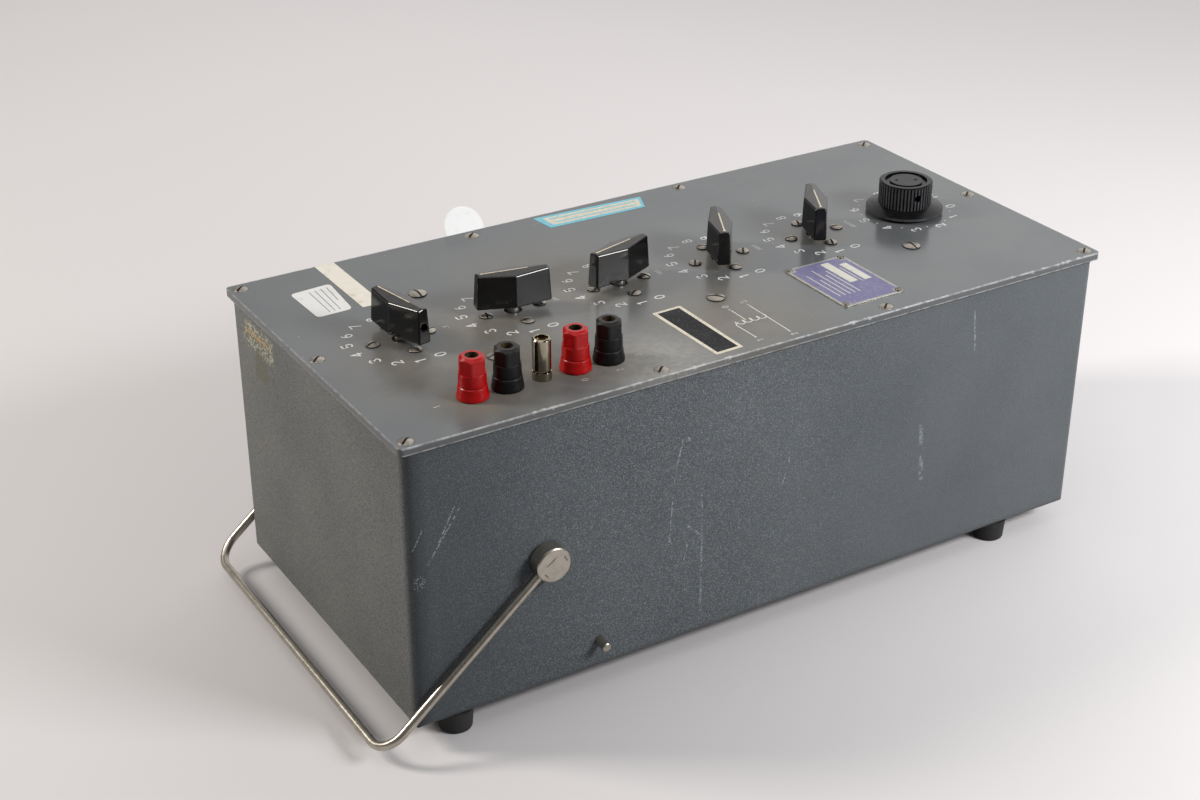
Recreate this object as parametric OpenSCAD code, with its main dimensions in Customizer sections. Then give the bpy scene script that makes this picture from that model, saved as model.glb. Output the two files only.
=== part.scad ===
// Ratio transformer: a bench instrument with five decade switches, an interpolating dial,
// a row of binding posts and a bail that serves as carrying handle and tilt stand.
// Millimetres, +Z up. The origin is on the ground, midway along the instrument and its resting bail.

/* [Case] */
// Length of the case, along X
case_l = 427.6; // [415:0.2:450]
// Width of the case, along Y
case_w = 205.2; // [198:0.2:225]
// Height from the bottom of the case to the seat of the panel
case_h = 157; // [145:0.5:175]
// Sheet thickness of the case
case_wall = 1.6; // [1.2:0.1:2.4]
// Outside radius of the upright and bottom edges
case_edge_r = 5; // [3:0.1:7]
// Width of the inward flange under the panel
flange_w = 14; // [11:0.5:18]

/* [Panel] */
// How far the panel stands out past the case
panel_overhang = 2.2; // [1.6:0.1:4]
// Thickness of the panel
panel_t = 4; // [3:0.1:6]
// Corner radius of the panel
panel_corner_r = 3; // [1:0.1:6]

/* [Edge screws of the panel] */
// Shank diameter
edge_screw_d = 4.2; // [3.4:0.1:4.8]
// Head diameter
edge_screw_head_d = 8; // [7:0.1:9]
// Height of the oval crown above the panel
edge_screw_crown = 1.1; // [0.6:0.1:1.5]
// Distance between the two middle screws of a long edge
edge_screw_span = 140; // [100:1:180]
// Gap between a shank and the inside of the case's wall
edge_screw_gap = 0.5; // [0.3:0.1:1]

/* [Feet] */
// Diameter of a foot at the case
foot_d = 19; // [16:0.5:21]
// Diameter of a foot at the ground
foot_low_d = 17.4; // [14:0.2:18]
// Height of a foot
foot_h = 12; // [9.5:0.5:16]
// Radius of the lower edge of a foot
foot_edge_r = 1.2; // [0.8:0.1:2]
// From the left end of the case to the left feet
foot_left_inset = 26.8; // [20:0.2:45]
// From the right end of the case to the right feet
foot_right_inset = 48.8; // [20:0.2:60]
// From the long sides of the case to the feet
foot_side_inset = 10.6; // [10.6:0.2:24]
// Shank diameter of a foot's screw
foot_screw_d = 4; // [3:0.1:5]

/* [Bail] */
// From the left end of the case to the pivot
pivot_inset = 74.6; // [66:0.2:84]
// Height of the pivot above the bottom of the case
pivot_z = 77.5; // [72:0.5:85]
// Diameter of the rod
bail_rod_d = 4.8; // [4:0.1:6]
// From the pivot to the middle of the cross bar
bail_reach = 124.5; // [118:0.5:131]
// Bend radius at the middle of the rod
bail_bend_r = 14; // [9:0.5:20]
// How far the arms point below the level at rest, in degrees
bail_angle = 40.2; // [30:0.2:43]
// Diameter of a boss
boss_d = 19; // [16:0.5:24]
// Height of a boss
boss_h = 8; // [7:0.2:9.4]
// Diameter of the spindle of a boss
spindle_d = 8; // [6:0.2:9]
// Outside diameter of a pivot bush
pivot_bush_d = 12; // [11:0.2:14]
// Length of a pivot bush
pivot_bush_l = 9; // [7:0.5:12]
// From the left end of the case to the stop pins
stop_pin_inset = 105.3; // [95:0.2:120]
// Height of the stop pins above the bottom of the case
stop_pin_z = 17.5; // [12:0.5:25]
// Diameter of a stop pin
stop_pin_d = 4.8; // [4:0.1:6]
// How far a stop pin stands out
stop_pin_l = 8.5; // [7:0.5:11]

/* [Decade knobs] */
// From the left end of the case to the first knob
first_knob_inset = 50.5; // [46:0.2:54]
// Distance between neighbouring knobs
knob_pitch = 65; // [63:0.1:66]
// Length of a bar knob
knob_l = 41; // [36:0.5:46]
// Width of a bar knob at its middle
knob_mid_w = 14.6; // [12.4:0.1:16]
// Width of a bar knob at its ends
knob_end_w = 7.4; // [5.5:0.1:9]
// Height of a bar knob
knob_h = 19; // [17:0.2:24]
// Gap between a bar knob and the panel
knob_gap = 4; // [3:0.1:6]
// How far each side leans in from bottom to top
knob_draft = 0.9; // [0.3:0.1:1.2]
// Slope of the two halves of the top, in degrees
knob_slope = 10; // [6:1:28]
// Radius of the moulded edges
knob_edge_r = 1.1; // [0.6:0.1:1.4]
// Outside diameter of the brass bush in a bar knob
knob_bush_d = 9.6; // [8.8:0.1:10.4]
// Length of the brass bush in a bar knob
knob_bush_l = 13; // [10:0.5:14]
// Diameter of the set screw in a bar knob
set_screw_d = 4.2; // [3:0.1:4.4]
// Height of the set screw above the bottom of a bar knob
set_screw_z = 9; // [7:0.2:10]
// Length of the set screws
set_screw_l = 7; // [5:0.5:8]
// Angle of figure 0 on a decade dial, in degrees
decade_zero = -72; // [-80:1:-60]
// Angle between two figures on a decade dial, in degrees
decade_step = 24; // [20:1:24]

/* [Switches] */
// Diameter of the switch and potentiometer shafts
shaft_d = 6.35; // [5:0.05:6.5]
// Diameter of a shaft's clearance hole in the panel
shaft_hole_d = 9.5; // [8:0.1:11]
// Diameter of the index plates and wafers
switch_d = 46; // [42:0.5:50]
// Thickness of an index plate
index_plate_t = 3; // [2:0.1:4]
// Thickness of a wafer
wafer_t = 2; // [1.5:0.1:3]
// Length of a spacer between plates
spacer_l = 10; // [8:0.5:14]
// Circle of the four screws of a switch
switch_screw_circle = 31.8; // [30:0.2:33]
// Shank diameter of a switch screw
switch_screw_d = 3.5; // [3:0.1:4]
// Head diameter of a switch screw
switch_screw_head_d = 7; // [6:0.1:8]

/* [Dial] */
// Diameter of the skirt
skirt_d = 44.4; // [40:0.2:48]
// Diameter of the fluted body
dial_body_d = 30.6; // [29.6:0.2:34]
// Height of the dial knob above the panel
dial_h = 19.2; // [18.6:0.2:24]
// Gap between the skirt and the panel
dial_gap = 1.9; // [1.2:0.1:3]
// Thickness of the rim of the skirt
skirt_t = 1.4; // [1:0.1:2.5]
// Number of flutes
flute_count = 48; // [36:1:52]
// Diameter of the inset cap
dial_cap_d = 22.8; // [20:0.2:23.6]
// Diameter of the set screw in the dial knob
dial_set_screw_d = 3.8; // [2.5:0.1:4]
// Outside diameter of the brass bush in the dial knob
dial_bush_d = 12; // [11:0.2:14]
// Diameter of the potentiometer
pot_d = 44; // [38:0.5:50]
// Depth of the potentiometer below the panel
pot_depth = 24; // [18:0.5:28]
// Diameter of the potentiometer's threaded neck
pot_neck_d = 9.5; // [9:0.1:10]
// Angle of figure 0 on the dial, in degrees
dial_zero = -18; // [-30:1:-10]
// Travel of the dial from 0 to 10, in degrees
dial_travel = 324; // [270:1:330]
// Reading of the dial at rest
dial_reading = 6.2; // [0:0.1:10]

/* [Binding posts] */
// From the left end of the case to the first post
first_post_inset = 51.5; // [46:0.5:60]
// Distance between neighbouring posts
post_pitch = 19.05; // [18.4:0.05:20]
// From the near edge of the panel to the posts
post_inset = 29.4; // [26:0.2:32]
// Diameter of an insulated base at the panel
post_base_d = 16.2; // [15.6:0.1:17]
// Diameter of an insulated base at its top
post_base_top_d = 14.6; // [14:0.1:15.6]
// Height of an insulated base
post_base_h = 7; // [6:0.1:8]
// Diameter of the round part of an insulated cap
post_cap_d = 14; // [13.4:0.1:14.6]
// Width across the flats of an insulated cap
post_cap_flats = 12.4; // [11.8:0.1:13]
// Height of the top of an insulated cap above the panel
post_h = 22.4; // [21.6:0.1:25]
// Height above the panel where the flats begin
post_flats_z = 13.6; // [11:0.1:15]
// Diameter of the hole in the top of a cap
post_mouth_d = 6.6; // [6.5:0.1:7]
// Diameter of the bare metal post
ground_post_d = 9.4; // [9.2:0.1:10.5]
// Diameter of the collar under the bare metal post
ground_base_d = 9.9; // [9.4:0.1:12]
// Height of the collar under the bare metal post
ground_base_h = 4.2; // [3:0.1:6]
// Diameter of a stud
stud_d = 6.3; // [6:0.05:6.35]
// Height of the top of a stud above the panel
stud_h = 19.5; // [18.5:0.1:20]
// Diameter of the plug socket in a stud
socket_d = 4.1; // [4:0.05:4.3]
// Depth of the plug socket
socket_depth = 15; // [10:0.5:17]
// Outside diameter of the threaded insert in a cap
insert_d = 7.9; // [7.6:0.1:8.1]

/* [Inside] */
// From the middle of the panel to the outer chassis screws
chassis_screw_x = 132; // [129:0.5:135]
// From the middle of the panel to the two rows of chassis screws
chassis_screw_y = 43.4; // [40:0.2:50]
// Shank diameter of a chassis screw
chassis_screw_d = 5; // [4:0.1:6]
// Head diameter of a chassis screw
chassis_screw_head_d = 9.6; // [8:0.1:11]
// Diameter of a chassis standoff
standoff_d = 10; // [9:0.5:12]
// Thickness of the chassis plate
chassis_t = 2; // [1.5:0.1:3]
// Outside diameter of a toroidal winding
toroid_d = 60; // [50:0.5:61]
// Diameter of the hole in a toroidal winding
toroid_hole_d = 22; // [18:0.5:26]
// Height of a toroidal winding
toroid_h = 28; // [20:0.5:34]

/* [Clearances] */
// Radial clearance of a turning or sliding fit
run_clear = 0.05; // [0.02:0.01:0.08]
// Gap between faces that pass each other
face_gap = 0.3; // [0.2:0.05:0.5]
// Gap between the arms of the bail and the edge of the panel that they swing past
pass_gap = 0.5; // [0.4:0.1:1]
// Radial clearance of a screw, stud or pressed piece in its hole
hole_clear = 0.1; // [0.05:0.01:0.2]

/* [Hidden] */

$fn = 64;
// Cuts run past the faces that they open by this much
cut = 1;

// Figures that the decade knobs point at, left to right
DECADE_FIGURES = [8, 5, 4, 2, 2];
// Angles by which the bar knobs were set off those figures when they were put on
KNOB_SETS = [5, 1, 3, 3, 2];
DECADES = [0:4];
POSTS = [0:4];
GROUND_POST = 2;
RED_POSTS = [0, 3];
BLACK_POSTS = [1, 4];
SIDES = [-1, 1];
// Angles at which the slots of each switch's screws were left
SLOT_TURNS = [14, 78, 120, 58, 160];

// Places shared by the pieces, measured from the middle of the case's bottom
panel_l = case_l + 2 * panel_overhang;
panel_w = case_w + 2 * panel_overhang;
panel_z = case_h + panel_t;
pivot_x = pivot_inset - case_l / 2;
stop_pin_x = stop_pin_inset - case_l / 2;
bail_y = panel_w / 2 + pass_gap + bail_rod_d / 2;
bail_left_x = pivot_x - bail_reach * cos(bail_angle) - bail_rod_d / 2;
post_y = post_inset - panel_w / 2;
edge_screw_x = case_l / 2 - case_wall - edge_screw_gap - edge_screw_d / 2;
edge_screw_y = case_w / 2 - case_wall - edge_screw_gap - edge_screw_d / 2;
EDGE_SCREWS = concat(
    [for (x = SIDES, y = SIDES) [x * edge_screw_x, y * edge_screw_y]],
    [for (x = SIDES, y = SIDES) [x * edge_screw_span / 2, y * edge_screw_y]],
    [for (x = SIDES) [x * edge_screw_x, 0]]
);
CHASSIS_SCREWS = [for (x = [-1, 0, 1], y = SIDES) [x * chassis_screw_x, y * chassis_screw_y]];
FEET = [for (x = [foot_left_inset - case_l / 2, case_l / 2 - foot_right_inset], y = SIDES)
    [x, y * (case_w / 2 - foot_side_inset)]];

// The origin is midway between the outer side of the resting bail and the panel's right edge
case_x = -(min(bail_left_x, -panel_l / 2) + panel_l / 2) / 2;

// Fasteners
nut_flats_ratio = 1.8;
nut_height_ratio = 0.8;
screw_tail = 2;
slot_w = 1.2;
slot_depth = 0.9;
screw_rim = 0.7;
screw_crown = 0.9;
edge_screw_tail = 4;
foot_bore_d = 2.3 * foot_screw_d;
foot_bore_depth = foot_h / 2;

// Switch stack, downwards from the underside of the panel
rotor_d = 13;
rotor_gap = 0.7;
detent_t = 3;
detent_teeth = floor(360 / decade_step);
spacer_wall = 1.5;
spacer_d = switch_screw_d + 2 * spacer_wall;
detent_gap = 1;
detent_d = switch_screw_circle - spacer_d - 2 * detent_gap;
detent_notch = 1.4;
wafer_1_z = -index_plate_t - spacer_l - wafer_t;
wafer_2_z = wafer_1_z - spacer_l - wafer_t;
switch_nut_h = nut_height_ratio * switch_screw_d;
switch_depth = switch_nut_h + screw_tail - wafer_2_z;

// Chassis, downwards from the underside of the panel
chassis_room = 12;
standoff_l = max(switch_depth, pot_depth) + chassis_room;
chassis_margin = 20;
chassis_left_x = knob_x(0) - toroid_d / 2;
chassis_right_x = knob_x(5) + toroid_d / 2;
chassis_w = 2 * chassis_screw_y + 2 * chassis_margin;
chassis_thread = 10;
toroid_round_r = 7;
clamp_t = 3;
clamp_lap = 8;
toroid_bolt_d = 6;

// Pivot of the bail, outwards from the side of the case
boss_gap = bail_y - boss_h / 2 - case_w / 2;
bush_out = boss_gap - face_gap;
bush_flange_t = 2;
bush_flange_w = 3;
bail_nut_h = 5;
bail_nut_flats = 1.7 * spindle_d;
spindle_tail = 1.5;
spindle_l = pivot_bush_l + face_gap + bail_nut_h + spindle_tail;
boss_chamfer = 0.7;
rod_root = 2;
pin_chamfer = 0.6;
pin_flange_t = 1.5;
pin_flange_w = 2;

// Knobs
knob_facets = 24;
shaft_end_gap = 1;
dial_chamfer = 0.3;
dial_wall = 2.3;
dial_cap_t = 1.8;
dial_cap_gap = 0.7;
spanner_hole_d = 1.9;
spanner_span = 11;
dial_hollow_z = 6;
dial_roof_t = 1.6;
skirt_rise = 2.2;
flute_r = 0.54;
flute_depth = 0.5;
flute_floor = 0.15;
skirt_top_z = dial_gap + skirt_t + skirt_rise;
plain_rim_h = 0.5;
rim_z = dial_h - plain_rim_h;
dial_set_screw_turn = 118;
dial_set_screw_drop = 6.4;
dial_set_screw_z = dial_h - dial_set_screw_drop;
pot_neck_h = 4;
pot_nut_h = 2.4;
pot_nut_flats = 1.45 * pot_neck_d;
pot_bore_depth = 10;
dial_cap_drop = 0.2;
dial_cap_groove = 1.1;
dial_cap_face_ratio = 0.82;
dial_cap_turn = 10;
dial_recess_z = dial_h - dial_cap_t - dial_cap_drop;
dial_bush_z = dial_recess_z - dial_roof_t;

// Binding posts
cap_chamfer = 1.5;
cap_chamfer_in = 1.95;
cap_draft = 0.15;
base_foot_h = 1.4;
base_edge = 0.5;
base_waist_z = 0.55 * post_base_h;
base_waist_draw = 0.2;
base_waist_d = (post_base_d + post_base_top_d) / 2 - base_waist_draw;
ground_chamfer = 0.7;
ground_post_drop = 0.5;
ground_post_h = post_h - ground_post_drop;
insert_end_gap = 0.3;
stud_show = 0.4;
insert_top_z = stud_h - stud_show;
post_washer_d = 15;
post_washer_t = 2.5;
post_nut_h = 3.2;
post_nut_flats = nut_flats_ratio * stud_d;
post_hole_gap = 0.85;
post_hole_d = stud_d + 2 * post_hole_gap;

function knob_x(i) = first_knob_inset - case_l / 2 + i * knob_pitch;
function decade_angle(i) = decade_zero - decade_step * DECADE_FIGURES[i];
function knob_angle(i) = decade_angle(i) + KNOB_SETS[i];
function dial_angle() = dial_zero - dial_travel * dial_reading / 10;
function post_x(i) = first_post_inset - case_l / 2 + i * post_pitch;
function arc(x, y, r, from, to, steps = 8) =
    [for (s = [0:steps]) let (a = from + (to - from) * s / steps) [x + r * cos(a), y + r * sin(a)]];

// Shared shapes

// Places its children from the middle of the bottom of the case
module on_case() translate([case_x, 0, foot_h]) children();

// Places its children on the panel
module on_panel(x, y) on_case() translate([x, y, panel_z]) children();

// Places its children under the panel
module under_panel(x, y) on_case() translate([x, y, case_h]) children();

// Upright block with rounded upright edges
module rounded_block(l, w, h, r) {
    linear_extrude(height = h) {
        square([l - 2 * r, w], center = true);
        square([l, w - 2 * r], center = true);
        for (x = SIDES, y = SIDES) translate([x * (l / 2 - r), y * (w / 2 - r)]) circle(r);
    }
}

// Trough along X with rounded lower edges
module rounded_trough(l, w, h, r) {
    rotate([90, 0, 90]) translate([0, 0, -l / 2]) linear_extrude(height = l) {
        translate([-w / 2, r]) square([w, h - r]);
        translate([r - w / 2, 0]) square([w - 2 * r, h]);
        for (y = SIDES) translate([y * (w / 2 - r), r]) circle(r);
    }
}

module tube(d, bore, h) {
    difference() {
        cylinder(d = d, h = h);
        translate([0, 0, -cut]) cylinder(d = bore, h = h + 2 * cut);
    }
}

module hex_nut(flats, bore, h) {
    difference() {
        cylinder(d = flats / cos(30), h = h, $fn = 6);
        translate([0, 0, -cut]) cylinder(d = bore, h = h + 2 * cut);
    }
}

// Low dome of a screw's head
module crown(d, h) {
    dome_r = (d * d / 4 + h * h) / (2 * h);
    intersection() {
        translate([0, 0, h - dome_r]) sphere(dome_r);
        cylinder(d = d, h = h + cut);
    }
}

module slot(d, top) {
    translate([-d / 2 - cut, -slot_w / 2, top - slot_depth]) cube([d + 2 * cut, slot_w, slot_depth + cut]);
}

// Slotted screw with an oval head in a countersink; z 0 is the face that it lies flush in
module oval_screw(d, head_d, crown_h, l) {
    sink = (head_d - d) / 2;
    difference() {
        union() {
            crown(head_d, crown_h);
            translate([0, 0, -sink]) cylinder(d1 = d, d2 = head_d, h = sink);
            translate([0, 0, -l]) cylinder(d = d, h = l);
        }
        rotate(d * l) slot(head_d, crown_h);
    }
}

// Slotted screw with a pan head on the face at z 0
module pan_screw(d, head_d, l, turn = 0) {
    difference() {
        union() {
            translate([0, 0, screw_rim]) crown(head_d, screw_crown);
            cylinder(d = head_d, h = screw_rim);
            translate([0, 0, -l]) cylinder(d = d, h = l);
        }
        rotate(turn) slot(head_d, screw_rim + screw_crown);
    }
}

// Four places on the screw circle of a switch
module at_switch_screws() {
    for (a = [0:90:270]) rotate(a) translate([switch_screw_circle / 2, 0, 0]) children();
}

// Puts a piece that is made along +Z on the side of the case at the given place; side -1 is near
module on_side(side, x, z) {
    on_case() translate([x, side * case_w / 2, z]) rotate([-90 * side, 0, 0]) children();
}

// Turns a piece of the bail, made with its arms along +X, to its resting angle
module bail_at_rest() {
    on_case() translate([pivot_x, 0, pivot_z]) rotate([0, 180 - bail_angle, 0]) children();
}

// Case and panel

module case_shell() {
    color("slategray") on_case() difference() {
        intersection() {
            rounded_block(case_l, case_w, case_h, case_edge_r);
            rounded_trough(case_l + 2 * cut, case_w, case_h + cut, case_edge_r);
            rotate(90) rounded_trough(case_w + 2 * cut, case_l, case_h + cut, case_edge_r);
        }
        translate([0, 0, case_wall])
            rounded_block(case_l - 2 * case_wall, case_w - 2 * case_wall, case_h - 2 * case_wall,
                case_edge_r - case_wall);
        translate([0, 0, case_h - case_wall - cut])
            rounded_block(case_l - 2 * flange_w, case_w - 2 * flange_w, case_wall + 2 * cut, case_edge_r);
        for (p = EDGE_SCREWS) translate([p[0], p[1], case_h - case_wall - cut])
            cylinder(d = edge_screw_d + 2 * hole_clear, h = case_wall + 2 * cut);
        for (p = FEET) translate([p[0], p[1], -cut])
            cylinder(d = foot_screw_d + 2 * hole_clear, h = case_wall + 2 * cut);
        translate([pivot_x, 0, pivot_z]) rotate([90, 0, 0])
            cylinder(d = pivot_bush_d + 2 * hole_clear, h = case_w + 2 * cut, center = true);
        translate([stop_pin_x, 0, stop_pin_z]) rotate([90, 0, 0])
            cylinder(d = stop_pin_d + 2 * hole_clear, h = case_w + 2 * cut, center = true);
    }
}

module panel_hole(x, y, d) {
    translate([x, y, -cut]) cylinder(d = d, h = panel_t + 2 * cut);
}

module front_panel() {
    sink = (edge_screw_head_d - edge_screw_d) / 2;
    color("dimgray") under_panel(0, 0) difference() {
        rounded_block(panel_l, panel_w, panel_t, panel_corner_r);
        for (p = EDGE_SCREWS) {
            panel_hole(p[0], p[1], edge_screw_d + 2 * hole_clear);
            translate([p[0], p[1], panel_t - sink]) cylinder(
                d1 = edge_screw_d + 2 * hole_clear, d2 = edge_screw_head_d + 2 * hole_clear, h = sink);
        }
        for (p = CHASSIS_SCREWS) panel_hole(p[0], p[1], chassis_screw_d + 2 * hole_clear);
        for (i = DECADES) {
            panel_hole(knob_x(i), 0, shaft_hole_d);
            translate([knob_x(i), 0, 0]) at_switch_screws()
                panel_hole(0, 0, switch_screw_d + 2 * hole_clear);
        }
        panel_hole(knob_x(5), 0, pot_neck_d + 2 * hole_clear);
        for (i = POSTS) panel_hole(post_x(i), post_y, post_hole_d);
    }
}

module panel_screws() {
    color("silver") for (p = EDGE_SCREWS) on_panel(p[0], p[1])
        oval_screw(edge_screw_d, edge_screw_head_d, edge_screw_crown, panel_t + case_wall + edge_screw_tail);
}

// Feet

module rubber_feet() {
    low_r = foot_low_d / 2;
    hole_r = foot_screw_d / 2 + hole_clear;
    bore_r = foot_bore_d / 2;
    profile = concat(
        [[hole_r, foot_bore_depth], [bore_r, foot_bore_depth], [bore_r, 0]],
        arc(low_r - foot_edge_r, foot_edge_r, foot_edge_r, -90, 0),
        [[foot_d / 2, foot_h], [hole_r, foot_h]]
    );
    color("black") for (p = FEET) translate([case_x + p[0], p[1], 0]) rotate_extrude() polygon(profile);
}

module foot_screws() {
    head_d = foot_bore_d - 4 * hole_clear;
    grip = foot_h - foot_bore_depth + case_wall + nut_height_ratio * foot_screw_d + screw_tail;
    color("silver") for (p = FEET) translate([case_x + p[0], p[1], foot_bore_depth]) rotate([180, 0, 0])
        pan_screw(foot_screw_d, head_d, grip);
}

module foot_nuts() {
    color("silver") for (p = FEET) on_case() translate([p[0], p[1], case_wall])
        hex_nut(nut_flats_ratio * foot_screw_d, foot_screw_d + 2 * run_clear,
            nut_height_ratio * foot_screw_d);
}

// Bail and what it turns on

module bail_stop_pins() {
    r = stop_pin_d / 2;
    profile = [
        [0, -case_wall - pin_flange_t], [r + pin_flange_w, -case_wall - pin_flange_t],
        [r + pin_flange_w, -case_wall], [r, -case_wall], [r, stop_pin_l - pin_chamfer],
        [r - pin_chamfer, stop_pin_l], [0, stop_pin_l]
    ];
    color("silver") for (side = SIDES) on_side(side, stop_pin_x, stop_pin_z)
        rotate_extrude() polygon(profile);
}

module pivot_bushes() {
    bore = spindle_d + 2 * run_clear;
    color("darkgoldenrod") for (side = SIDES) on_side(side, pivot_x, pivot_z) difference() {
        union() {
            translate([0, 0, -pivot_bush_l]) cylinder(d = pivot_bush_d, h = pivot_bush_l + bush_out);
            translate([0, 0, -case_wall - bush_flange_t])
                cylinder(d = pivot_bush_d + 2 * bush_flange_w, h = bush_flange_t);
        }
        translate([0, 0, -pivot_bush_l - cut]) cylinder(d = bore, h = pivot_bush_l + bush_out + 2 * cut);
    }
}

module bail_rod() {
    inner_y = bail_y - bail_bend_r;
    color("silver") bail_at_rest() {
        for (side = SIDES) {
            translate([rod_root, side * bail_y, 0]) rotate([0, 90, 0])
                cylinder(d = bail_rod_d, h = bail_reach - bail_bend_r - rod_root);
            mirror([0, side < 0 ? 1 : 0, 0]) translate([bail_reach - bail_bend_r, inner_y, 0])
                rotate_extrude(angle = 90) translate([bail_bend_r, 0]) circle(d = bail_rod_d);
        }
        translate([bail_reach, -inner_y, 0]) rotate([-90, 0, 0]) cylinder(d = bail_rod_d, h = 2 * inner_y);
    }
}

// Turned boss with its spindle, and a radial hole in which the rod is held
module bail_boss(side) {
    r = boss_d / 2;
    spindle_end = spindle_l + boss_gap;
    profile = [
        [0, -spindle_end], [spindle_d / 2, -spindle_end], [spindle_d / 2, 0], [r, 0],
        [r, boss_h - boss_chamfer], [r - boss_chamfer, boss_h], [0, boss_h]
    ];
    color("silver") bail_at_rest() translate([0, side * (case_w / 2 + boss_gap), 0])
        rotate([-90 * side, 0, 0]) difference() {
            rotate_extrude() polygon(profile);
            translate([rod_root - face_gap, 0, boss_h / 2]) rotate([0, 90, 0])
                cylinder(d = bail_rod_d + 2 * hole_clear, h = r);
        }
}

module bail_boss_near() bail_boss(-1);

module bail_boss_far() bail_boss(1);

module bail_nuts() {
    color("silver") bail_at_rest() for (side = SIDES)
        translate([0, side * (case_w / 2 - pivot_bush_l - face_gap - bail_nut_h), 0])
            rotate([-90 * side, 0, 0]) hex_nut(bail_nut_flats, spindle_d + 2 * run_clear, bail_nut_h);
}

// Rotary switches

module switch_plate(t, hole_d) {
    difference() {
        cylinder(d = switch_d, h = t);
        translate([0, 0, -cut]) cylinder(d = hole_d, h = t + 2 * cut);
        at_switch_screws() translate([0, 0, -cut])
            cylinder(d = switch_screw_d + 2 * hole_clear, h = t + 2 * cut);
    }
}

module switch_index_plates() {
    color("gray") for (i = DECADES) under_panel(knob_x(i), 0) translate([0, 0, -index_plate_t])
        switch_plate(index_plate_t, shaft_d + 2 * run_clear);
}

module switch_wafers() {
    color("saddlebrown") for (i = DECADES, z = [wafer_1_z, wafer_2_z]) under_panel(knob_x(i), 0)
        translate([0, 0, z]) switch_plate(wafer_t, rotor_d + 2 * rotor_gap);
}

module switch_spacers() {
    color("silver") for (i = DECADES, z = [wafer_1_z, wafer_2_z]) under_panel(knob_x(i), 0)
        at_switch_screws() translate([0, 0, z + wafer_t])
            tube(spacer_d, switch_screw_d + 2 * hole_clear, spacer_l);
}

module switch_screws() {
    color("silver") for (i = DECADES) on_panel(knob_x(i), 0) at_switch_screws()
        pan_screw(switch_screw_d, switch_screw_head_d, panel_t + switch_depth, SLOT_TURNS[i]);
}

module switch_nuts() {
    color("silver") for (i = DECADES) under_panel(knob_x(i), 0) at_switch_screws()
        translate([0, 0, wafer_2_z - switch_nut_h])
            hex_nut(nut_flats_ratio * switch_screw_d, switch_screw_d + 2 * run_clear, switch_nut_h);
}

// Notched wheel that the detent drops into, one notch for each step round the dial
module detent_wheel() {
    half_step = decade_step / 2;
    linear_extrude(height = detent_t) polygon([for (n = [0:2 * detent_teeth - 1])
        let (r = detent_d / 2 - (n % 2) * detent_notch) [r * cos(n * half_step), r * sin(n * half_step)]]);
}

module switch_shaft(i) {
    top = panel_t + knob_gap + knob_bush_l - shaft_end_gap;
    bottom = wafer_2_z - screw_tail;
    color("silver") under_panel(knob_x(i), 0) rotate(decade_angle(i)) {
        translate([0, 0, bottom]) cylinder(d = shaft_d, h = top - bottom);
        translate([0, 0, -index_plate_t - face_gap - detent_t]) detent_wheel();
        for (z = [wafer_1_z, wafer_2_z]) translate([0, 0, z]) cylinder(d = rotor_d, h = wafer_t);
    }
}

// Bar knobs

module knob_corner(x, y, z) {
    translate([x, y, z]) sphere(r = knob_edge_r, $fn = knob_facets);
}

// Six-sided moulded bar with leaning sides and a ridge along its top
module knob_block() {
    foot_x = knob_l / 2 - knob_edge_r;
    top_x = foot_x - knob_draft;
    foot_y = [knob_end_w / 2 - knob_edge_r, knob_mid_w / 2 - knob_edge_r];
    top_y = [for (y = foot_y) y - knob_draft * 0.6];
    ridge_z = knob_h - knob_edge_r;
    eave_z = [for (y = top_y) ridge_z - y * tan(knob_slope)];
    hull() {
        for (x = SIDES, y = SIDES) {
            knob_corner(x * foot_x, y * foot_y[0], knob_edge_r);
            knob_corner(x * top_x, y * top_y[0], eave_z[0]);
        }
        for (y = SIDES) {
            knob_corner(0, y * foot_y[1], knob_edge_r);
            knob_corner(0, y * top_y[1], eave_z[1]);
        }
        for (x = SIDES) knob_corner(x * top_x, 0, ridge_z);
    }
}

module decade_knob(i) {
    color([0.05, 0.05, 0.06]) on_panel(knob_x(i), 0) rotate(knob_angle(i)) translate([0, 0, knob_gap])
        difference() {
            knob_block();
            translate([0, 0, -cut])
                cylinder(d = knob_bush_d + 2 * hole_clear, h = knob_bush_l + hole_clear + cut);
            translate([0, 0, set_screw_z]) rotate([0, -90, 0])
                cylinder(d = set_screw_d + 2 * hole_clear, h = knob_l);
        }
}

// Slotted headless screw along -X from the shaft
module set_screw(d) {
    start = shaft_d / 2 + run_clear;
    rotate([0, -90, 0]) translate([0, 0, start]) difference() {
        cylinder(d = d, h = set_screw_l);
        translate([-d, -slot_w / 4, set_screw_l - slot_depth]) cube([2 * d, slot_w / 2, slot_depth + cut]);
    }
}

// Brass bush on a shaft, with its set screw
module shaft_bush(d, l, screw_d, screw_z) {
    difference() {
        tube(d, shaft_d + 2 * run_clear, l);
        translate([0, 0, screw_z]) rotate([0, -90, 0]) cylinder(d = screw_d + 2 * hole_clear, h = d);
    }
    translate([0, 0, screw_z]) set_screw(screw_d);
}

module decade_bush(i) {
    color("goldenrod") on_panel(knob_x(i), 0) rotate(knob_angle(i)) translate([0, 0, knob_gap])
        shaft_bush(knob_bush_d, knob_bush_l, set_screw_d, set_screw_z);
}

// Dial and potentiometer

// Outline of the fluted length
module fluted_outline(r) {
    difference() {
        circle(r);
        for (n = [0:flute_count - 1]) rotate((n + 0.5) * 360 / flute_count)
            translate([r + flute_r - flute_depth, 0]) circle(flute_r, $fn = 16);
    }
}

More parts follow.
